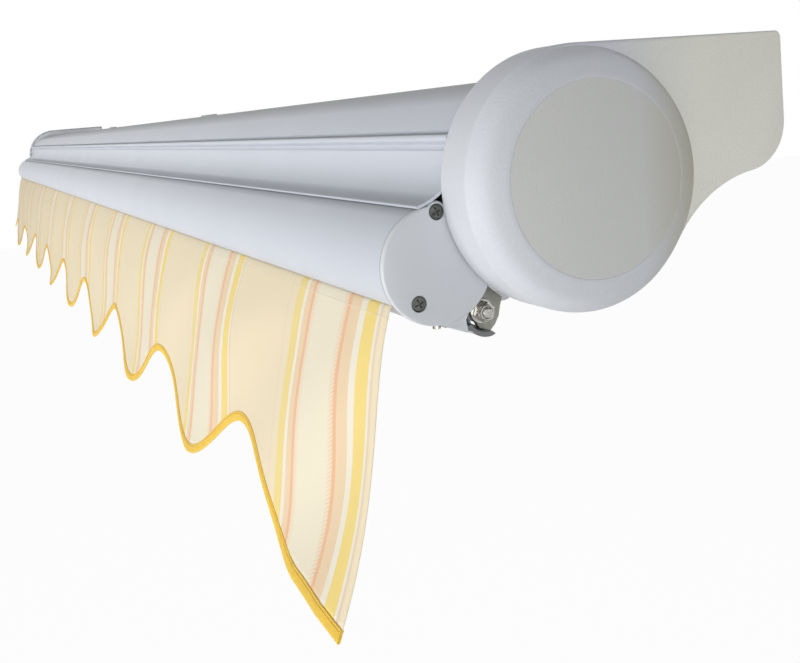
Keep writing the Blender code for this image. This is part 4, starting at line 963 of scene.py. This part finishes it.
# Awning cloth
# Spun-dyed acrylic, woven plain at about one thread a millimetre, in beige. A wide cream band
# repeats every 35 cm, edged on both sides in red, peach, white and yellow.
# Red threads thin out into the cream, and a faint pink thread runs beside the yellow.
REPEAT = 0.347
BAND_CENTRE = 1.6310
BEIGE = (0.850, 0.735, 0.510)
CREAM = (0.850, 0.785, 0.610)
WHITE = (0.870, 0.815, 0.690)
PEACH = (0.845, 0.640, 0.410)
RED = (0.850, 0.480, 0.270)
YELLOW = (0.900, 0.690, 0.180)
PALE_YELLOW = (0.870, 0.690, 0.240)
PINK = (0.790, 0.650, 0.480)
STRIPES = (
    (-0.0930, PINK), (-0.0910, BEIGE), (-0.0750, PALE_YELLOW), (-0.0595, WHITE), (-0.0520, PEACH),
    (-0.0410, RED), (-0.0355, CREAM), (0.0365, RED), (0.0430, PEACH), (0.0620, WHITE),
    (0.0725, YELLOW), (0.0935, WHITE), (0.0975, PINK), (0.1010, BEIGE),
)
BAND_HALF = 0.0360
THREAD = 0.0009
HATCH_WIDTH = 0.010
HATCH_STEP = 0.0033
SLUB_COLOUR = (0.72, 0.60, 0.40)


def awning_cloth(name):
    """Striped cloth: bands, a plain weave in relief, and slubs in the yarn."""
    cloth = Finish(name, Sheen_Weight=0.12)
    where, (x, y, z) = cloth.place()
    bands = ((x - BAND_CENTRE) / REPEAT + 0.5).fraction()
    stops = [(0.0, BEIGE)] + [(0.5 + at / REPEAT, colour) for at, colour in STRIPES]
    colour = cloth.node("ShaderNodeValToRGB", {"stops": stops}, {"Fac": bands})
    down = z * 0.97 + y * 0.26
    inside = BAND_HALF - ((bands - 0.5) * REPEAT).size()
    hatched = inside.above(0.0) * (1 - inside / HATCH_WIDTH) * inside.below(HATCH_WIDTH)
    picks = ((down + inside * 0.6) * (2 * math.pi / HATCH_STEP)).sine() * 0.5 + 0.5
    colour = cloth.blend(hatched * picks * 0.85, colour, RED)
    warp = (x * (2 * math.pi / THREAD)).sine()
    weft = (down * (2 * math.pi / THREAD)).sine()
    along_yarn = {"Vector": where, "Scale": (1400.0, 60.0, 60.0)}
    slub = cloth.grain(cloth.node("ShaderNodeMapping", {}, along_yarn), 1.0, 2.0)
    clouds = cloth.grain(where, 7.0, 3.0)
    dye = cloth.blend(slub * 0.16 + clouds * 0.12, colour, SLUB_COLOUR)
    cloth.set(Base_Color=dye, Roughness=0.78 + slub * 0.12)
    return cloth.bump(warp * weft * 0.35 + slub * 0.5 + 0.5, 0.00012)


striped = awning_cloth("striped_cloth")

# Valance
# A straight-hung strip of the cloth, held by its rod in the bar's lower groove and cut in
# scallops. It bulges forward under its own stiffness and ripples a little between scallops.
# The right end stays at its lowest point, where the last scallop was cut through.
FALL = ((-0.1328, -0.0765), (-0.168, -0.150), (-0.160, -0.235), (-0.187, -0.301))
PITCH = 0.3875
LOW_POINT = 1.6325
HEM_HIGH = -0.223
HEM_LOW = -0.296
BINDING = 0.009
CLOTH = 0.0006
VALANCE_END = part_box("valance")[1][0]
RIPPLE = 0.0022
RIPPLES_PER_SCALLOP = 1.5
CURL = 0.0065
CURL_REACH = 0.22
WAVE = 0.0022
WAVE_LENGTH = 0.170
WAVE_AT = -0.140
WAVE_FROM = 1.667
WAVE_SLANT = 0.60
WAVE_TOP = BAR_CENTRE[1] - 0.03
WAVE_DROP = 0.21
GROOVE = (-0.1281, -0.0716)
COLUMN_STEP = 0.009
ROWS = 26


def fall_to(z):
    """How far down the fall the height z lies."""
    low, high = 0.0, 1.0
    for _ in range(24):
        middle = (low + high) / 2
        if curve(FALL, middle).y > z:
            low = middle
        else:
            high = middle
    return (low + high) / 2


def hem(x):
    """Height of the hem and its slope."""
    phase = 2 * math.pi * min(x - LOW_POINT, 0.0) / PITCH
    swing = (HEM_HIGH - HEM_LOW) / 2
    height = (HEM_HIGH + HEM_LOW) / 2 - swing * math.cos(phase)
    return height, swing * 2 * math.pi / PITCH * math.sin(phase)


def hang(x, t):
    """A point of the hung cloth. Ripples grow towards the hem, and the free end curls."""
    point = curve(FALL, t)
    turns = (x - LOW_POINT) / PITCH * RIPPLES_PER_SCALLOP
    ripple = RIPPLE * t * t * math.sin(2 * math.pi * turns + 0.6)
    ripple += RIPPLE * 0.8 * t * noise.noise(Vector((x * 4.0, t * 1.5, 0.3)))
    near = eased((abs(x) - VALANCE_END + CURL_REACH) / CURL_REACH)
    curl = CURL * math.sin(1.3 * math.pi * t) * near
    crest = WAVE_AT - WAVE_SLANT * (WAVE_FROM - x)
    fade = held(t / 0.25) * held((VALANCE_END - abs(x)) / 0.05)
    fade *= 0.4 + 0.6 * held(1 - (WAVE_FROM - x) / 0.8)
    wave = WAVE * fade * math.cos(2 * math.pi * (WAVE_TOP - t * WAVE_DROP - crest) / WAVE_LENGTH)
    return on_axis(x, (point.x + ripple + curl - wave, point.y))


def hem_mark(x, share):
    """How far down the fall a point of the binding lies, from its upper edge to the hem."""
    height, slope = hem(x)
    rise = BINDING * math.sqrt(1 + slope**2)
    return fall_to(height + rise * (1 - share))


def spread(half, count):
    """Places from the right end to the left, in equal steps."""
    return [half - 2 * half * i / count for i in range(count + 1)]


def facing_out(x, t, step=0.002):
    """A point of the hung cloth and the way out of its back face."""
    point = hang(x, t)
    ahead = hang(x, t + step) - point
    return point, Vector((0, -ahead.z, ahead.y)).normalized()


def fill_grid(bm, columns):
    """Faces between neighbouring columns of verts."""
    for one, two in zip(columns, columns[1:]):
        for k in range(len(one) - 1):
            bm.faces.new((one[k], one[k + 1], two[k + 1], two[k]))


def thicken(piece):
    """Give a cloth its thickness, half to each side."""
    solid = piece.modifiers.new("thickness", "SOLIDIFY")
    solid.thickness = CLOTH
    solid.offset = 0.0


column_count = round(2 * VALANCE_END / COLUMN_STEP)
sheet = bmesh.new()
grid = []
for x in spread(VALANCE_END, column_count):
    bottom = hem_mark(x, 0.35)
    column = [sheet.verts.new(on_axis(x, GROOVE))]
    column += [sheet.verts.new(hang(x, bottom * k / ROWS)) for k in range(ROWS + 1)]
    grid.append(column)
fill_grid(sheet, grid)
valance_area = sum(face.calc_area() for face in sheet.faces)
valance = add_piece("valance_cloth", sheet, striped, "front_bar", 60)
thicken(valance)
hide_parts("valance")

# Binding of the valance
# A yellow woven tape folded over the cut edge, about 9 mm deep on each face, and sewn through.
# Its two layers pad it to a soft roll at the hem.
TAPE = 0.0024
TAPE_SECTION = (
    (0.0, 0.42), (0.06, 0.5), (0.30, 0.44), (0.62, 0.5), (0.88, 0.5), (0.985, 0.3), (1.0, 0.0),
)
TAPE_YELLOW = (0.97, 0.68, 0.045)
TAPE_DEEP = (0.78, 0.45, 0.012)
RIB_STEP = 0.0012

tape_cloth = Finish("binding_tape", Sheen_Weight=0.2)
where, (x, y, z) = tape_cloth.place()
rib = ((x * 0.7 + z * 0.7) * (2 * math.pi / RIB_STEP)).sine()
cross_rib = ((x * 0.7 - z * 0.7) * (2 * math.pi / RIB_STEP)).sine()
worn = tape_cloth.grain(where, 320.0, 3.0)
tape_cloth.set(Base_Color=tape_cloth.blend(worn, TAPE_DEEP, TAPE_YELLOW), Roughness=0.75)
tape_cloth.bump(rib * cross_rib * 0.5 + worn * 0.4 + 0.5, 0.00016)

tape = bmesh.new()
tape_rings = []
for x in spread(VALANCE_END, column_count * 2):
    front_side, back_side = [], []
    for share, thick in TAPE_SECTION:
        point, out = facing_out(x, hem_mark(x, share))
        out *= TAPE * thick
        front_side.append(tape.verts.new(point - out))
        if thick:
            back_side.append(tape.verts.new(point + out))
    tape_rings.append(front_side + back_side[::-1])
skinned(tape, tape_rings)
bmesh.ops.recalc_face_normals(tape, faces=tape.faces[:])
binding = add_piece("valance_tape", tape, tape_cloth, "front_bar", 60)
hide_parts("valance_binding")

# Stitches of the binding
# One row of lock stitches in orange thread, about 3 mm apart, through both layers of the tape.
# They run along the scallops, 2 mm inside the tape's upper edge, on both faces.
STITCH_STEP = 0.0034
STITCH_LENGTH = 0.0024
THREAD_RADIUS = 0.00028
STITCH_DOWN_TAPE = 0.24
STITCH_MARGIN = 0.003


def stitch_tree(finish):
    """Geometry Nodes: short capsules set along a path, turned to follow it."""
    tree = bpy.data.node_groups.new("stitches", "GeometryNodeTree")
    for label, way in (("Path", "INPUT"), ("Mesh", "OUTPUT")):
        tree.interface.new_socket(label, in_out=way, socket_type="NodeSocketGeometry")

    def node(kind, **inputs):
        made = tree.nodes.new(kind)
        for key, value in inputs.items():
            if key in ("mode", "axis"):
                setattr(made, key, value)
            elif isinstance(value, bpy.types.NodeSocket):
                tree.links.new(value, made.inputs[key])
            else:
                made.inputs[key].default_value = value
        return made.outputs

    path = node("GeometryNodeMeshToCurve", Mesh=node("NodeGroupInput")["Path"])
    points = node("GeometryNodeCurveToPoints", mode="LENGTH", Curve=path[0], Length=STITCH_STEP)
    capsule = node("GeometryNodeMeshCylinder", Vertices=6, Radius=THREAD_RADIUS, Depth=STITCH_LENGTH)
    turned = node("FunctionNodeAlignRotationToVector", axis="Z", Vector=points["Tangent"])
    placed = node("GeometryNodeInstanceOnPoints", Points=points["Points"],
                  Instance=capsule["Mesh"], Rotation=turned[0])
    real = node("GeometryNodeRealizeInstances", Geometry=placed[0])
    painted = node("GeometryNodeSetMaterial", Geometry=real[0], Material=finish.material)
    node("NodeGroupOutput", Mesh=painted[0])
    return tree


def sewn(name, thread, colour, spots, step, raised):
    """Rows of stitches on both faces of the hung cloth, through spots of x and how far down."""
    finish = Finish(thread, Base_Color=colour, Roughness=0.6, Sheen_Weight=0.2)
    path = bmesh.new()
    for face_side in (-1, 1):
        before = None
        for x, t in spots:
            point, out = facing_out(x, t, step)
            out *= raised + THREAD_RADIUS * 0.4
            vert = path.verts.new(point + out * face_side)
            if before:
                path.edges.new((before, vert))
            before = vert
    mesh = bpy.data.meshes.new(name + "_path")
    path.to_mesh(mesh)
    path.free()
    piece = placed_piece(name, mesh, "front_bar")
    modifier = piece.modifiers.new("tree", "NODES")
    modifier.node_group = stitch_tree(finish)
    graph = bpy.context.evaluated_depsgraph_get()
    piece.data = bpy.data.meshes.new_from_object(piece.evaluated_get(graph))
    piece.modifiers.remove(modifier)
    bpy.data.meshes.remove(mesh)
    piece.data.name = name
    return piece


stitch_places = spread(VALANCE_END - STITCH_MARGIN, column_count * 2)
stitch_spots = [(x, hem_mark(x, STITCH_DOWN_TAPE)) for x in stitch_places]
stitches = sewn("valance_stitches", "orange_thread", (0.74, 0.36, 0.03),
                stitch_spots, 0.002, TAPE * 0.46)

# Seam of the valance's upper edge
# The cloth is folded round its rod and sewn through close below the bar.
# One row of lock stitches in pale thread.
SEAM_AT = 0.026
seam_spots = [(x, SEAM_AT) for x in spread(VALANCE_END, column_count)]
seam = sewn("valance_seam", "pale_thread", (0.86, 0.80, 0.66),
            seam_spots, 0.01, CLOTH / 2)

# Roll of cloth
# The awning's cloth, wound nine times round the roller tube with its free end at the bottom.
# It is one strip, and its turns show at both ends.
ROLL_LOW, ROLL_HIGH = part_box("cloth_roll")
ROLL_END = ROLL_HIGH[0]
ROLL_OUTER = (ROLL_HIGH[2] - ROLL_LOW[2]) / 2
TUBE_OUTER = 0.0392
TURNS = 9
STEPS_PER_TURN = 60
LAYER = 0.0006
LAYER_SOLID = 0.00054
LEAD_RADIUS = ROLL_OUTER + LAYER
CANOPY_ANGLE = math.radians(CANOPY_SLOT)
OUTWARD = Vector((math.cos(CANOPY_ANGLE), math.sin(CANOPY_ANGLE)))
CANOPY_ROD = Vector(BAR_CENTRE) + OUTWARD * (BAR_RADIUS - SLOT_DEPTH)
MOUTH = CANOPY_ROD + OUTWARD * (SLOT_DEPTH + 0.0015)
LEAVES_AT = math.degrees(math.atan2(MOUTH.y, MOUTH.x) + math.acos(LEAD_RADIUS / MOUTH.length)) % 360

outer_skin, inner_skin = [], []
steps = TURNS * STEPS_PER_TURN
for i in range(steps + 1):
    u = i / steps
    angle = math.radians(LEAVES_AT + 360 * TURNS * (1 - u))
    radius = TUBE_OUTER + (ROLL_OUTER - TUBE_OUTER - LAYER) * u
    for points, r in ((outer_skin, radius + LAYER_SOLID), (inner_skin, radius)):
        points.append((r * math.cos(angle), r * math.sin(angle)))
wound = bmesh.new()
wound_rings = [ring(wound, x, outer_skin + inner_skin[::-1]) for x in (-ROLL_END, ROLL_END)]
bridge(wound, *wound_rings)
for verts in wound_rings:
    far = len(verts) - 1
    for i in range(steps):
        wound.faces.new((verts[i], verts[i + 1], verts[far - i - 1], verts[far - i]))
bmesh.ops.recalc_face_normals(wound, faces=wound.faces[:])
roll = add_piece("cloth_wound", wound, striped, "roller", 40)
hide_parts("cloth_roll")

# Stretch of cloth between the roll and the bar
# The cloth leaves the roll below and runs forward into the bar's upper slot, folded round its rod.
# The arms draw it out of the roll, so its points follow the bar the more, the nearer they lie.
LEAD_ROWS = 30
LEAD_COLUMNS = 24
lead_path = [(point, 0.0) for point in arc((0, 0), LEAD_RADIUS, LEAVES_AT + 40, LEAVES_AT, 12)]
start = Vector(lead_path[-1][0])
for i in range(1, LEAD_ROWS + 1):
    lead_path.append((tuple(start.lerp(MOUTH, i / LEAD_ROWS)), i / LEAD_ROWS))
lead_path.append((tuple(CANOPY_ROD + OUTWARD * 0.0030), 1.0))
lead_bm = bmesh.new()
lead_grid = []
for x in spread(ROLL_END, LEAD_COLUMNS):
    lead_grid.append([lead_bm.verts.new(on_axis(x, point)) for point, _ in lead_path])
fill_grid(lead_bm, lead_grid[::-1])
lead_area = sum(face.calc_area() for face in lead_bm.faces)
lead = add_piece("canopy_stretch", lead_bm, striped, "cassette", 60)
drawn = lead.vertex_groups.new(name="drawn_out")
for index in range(len(lead.data.vertices)):
    drawn.add([index], lead_path[index % len(lead_path)][1], "REPLACE")
carry = lead.modifiers.new("drawn_out", "HOOK")
carry.object = frame["bodies"]["front_bar"]
carry.vertex_group = "drawn_out"
carry.falloff_type = "NONE"
carry.matrix_inverse = frame["bodies"]["front_bar"].matrix_world.inverted()
thicken(lead)
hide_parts("canopy_lead")
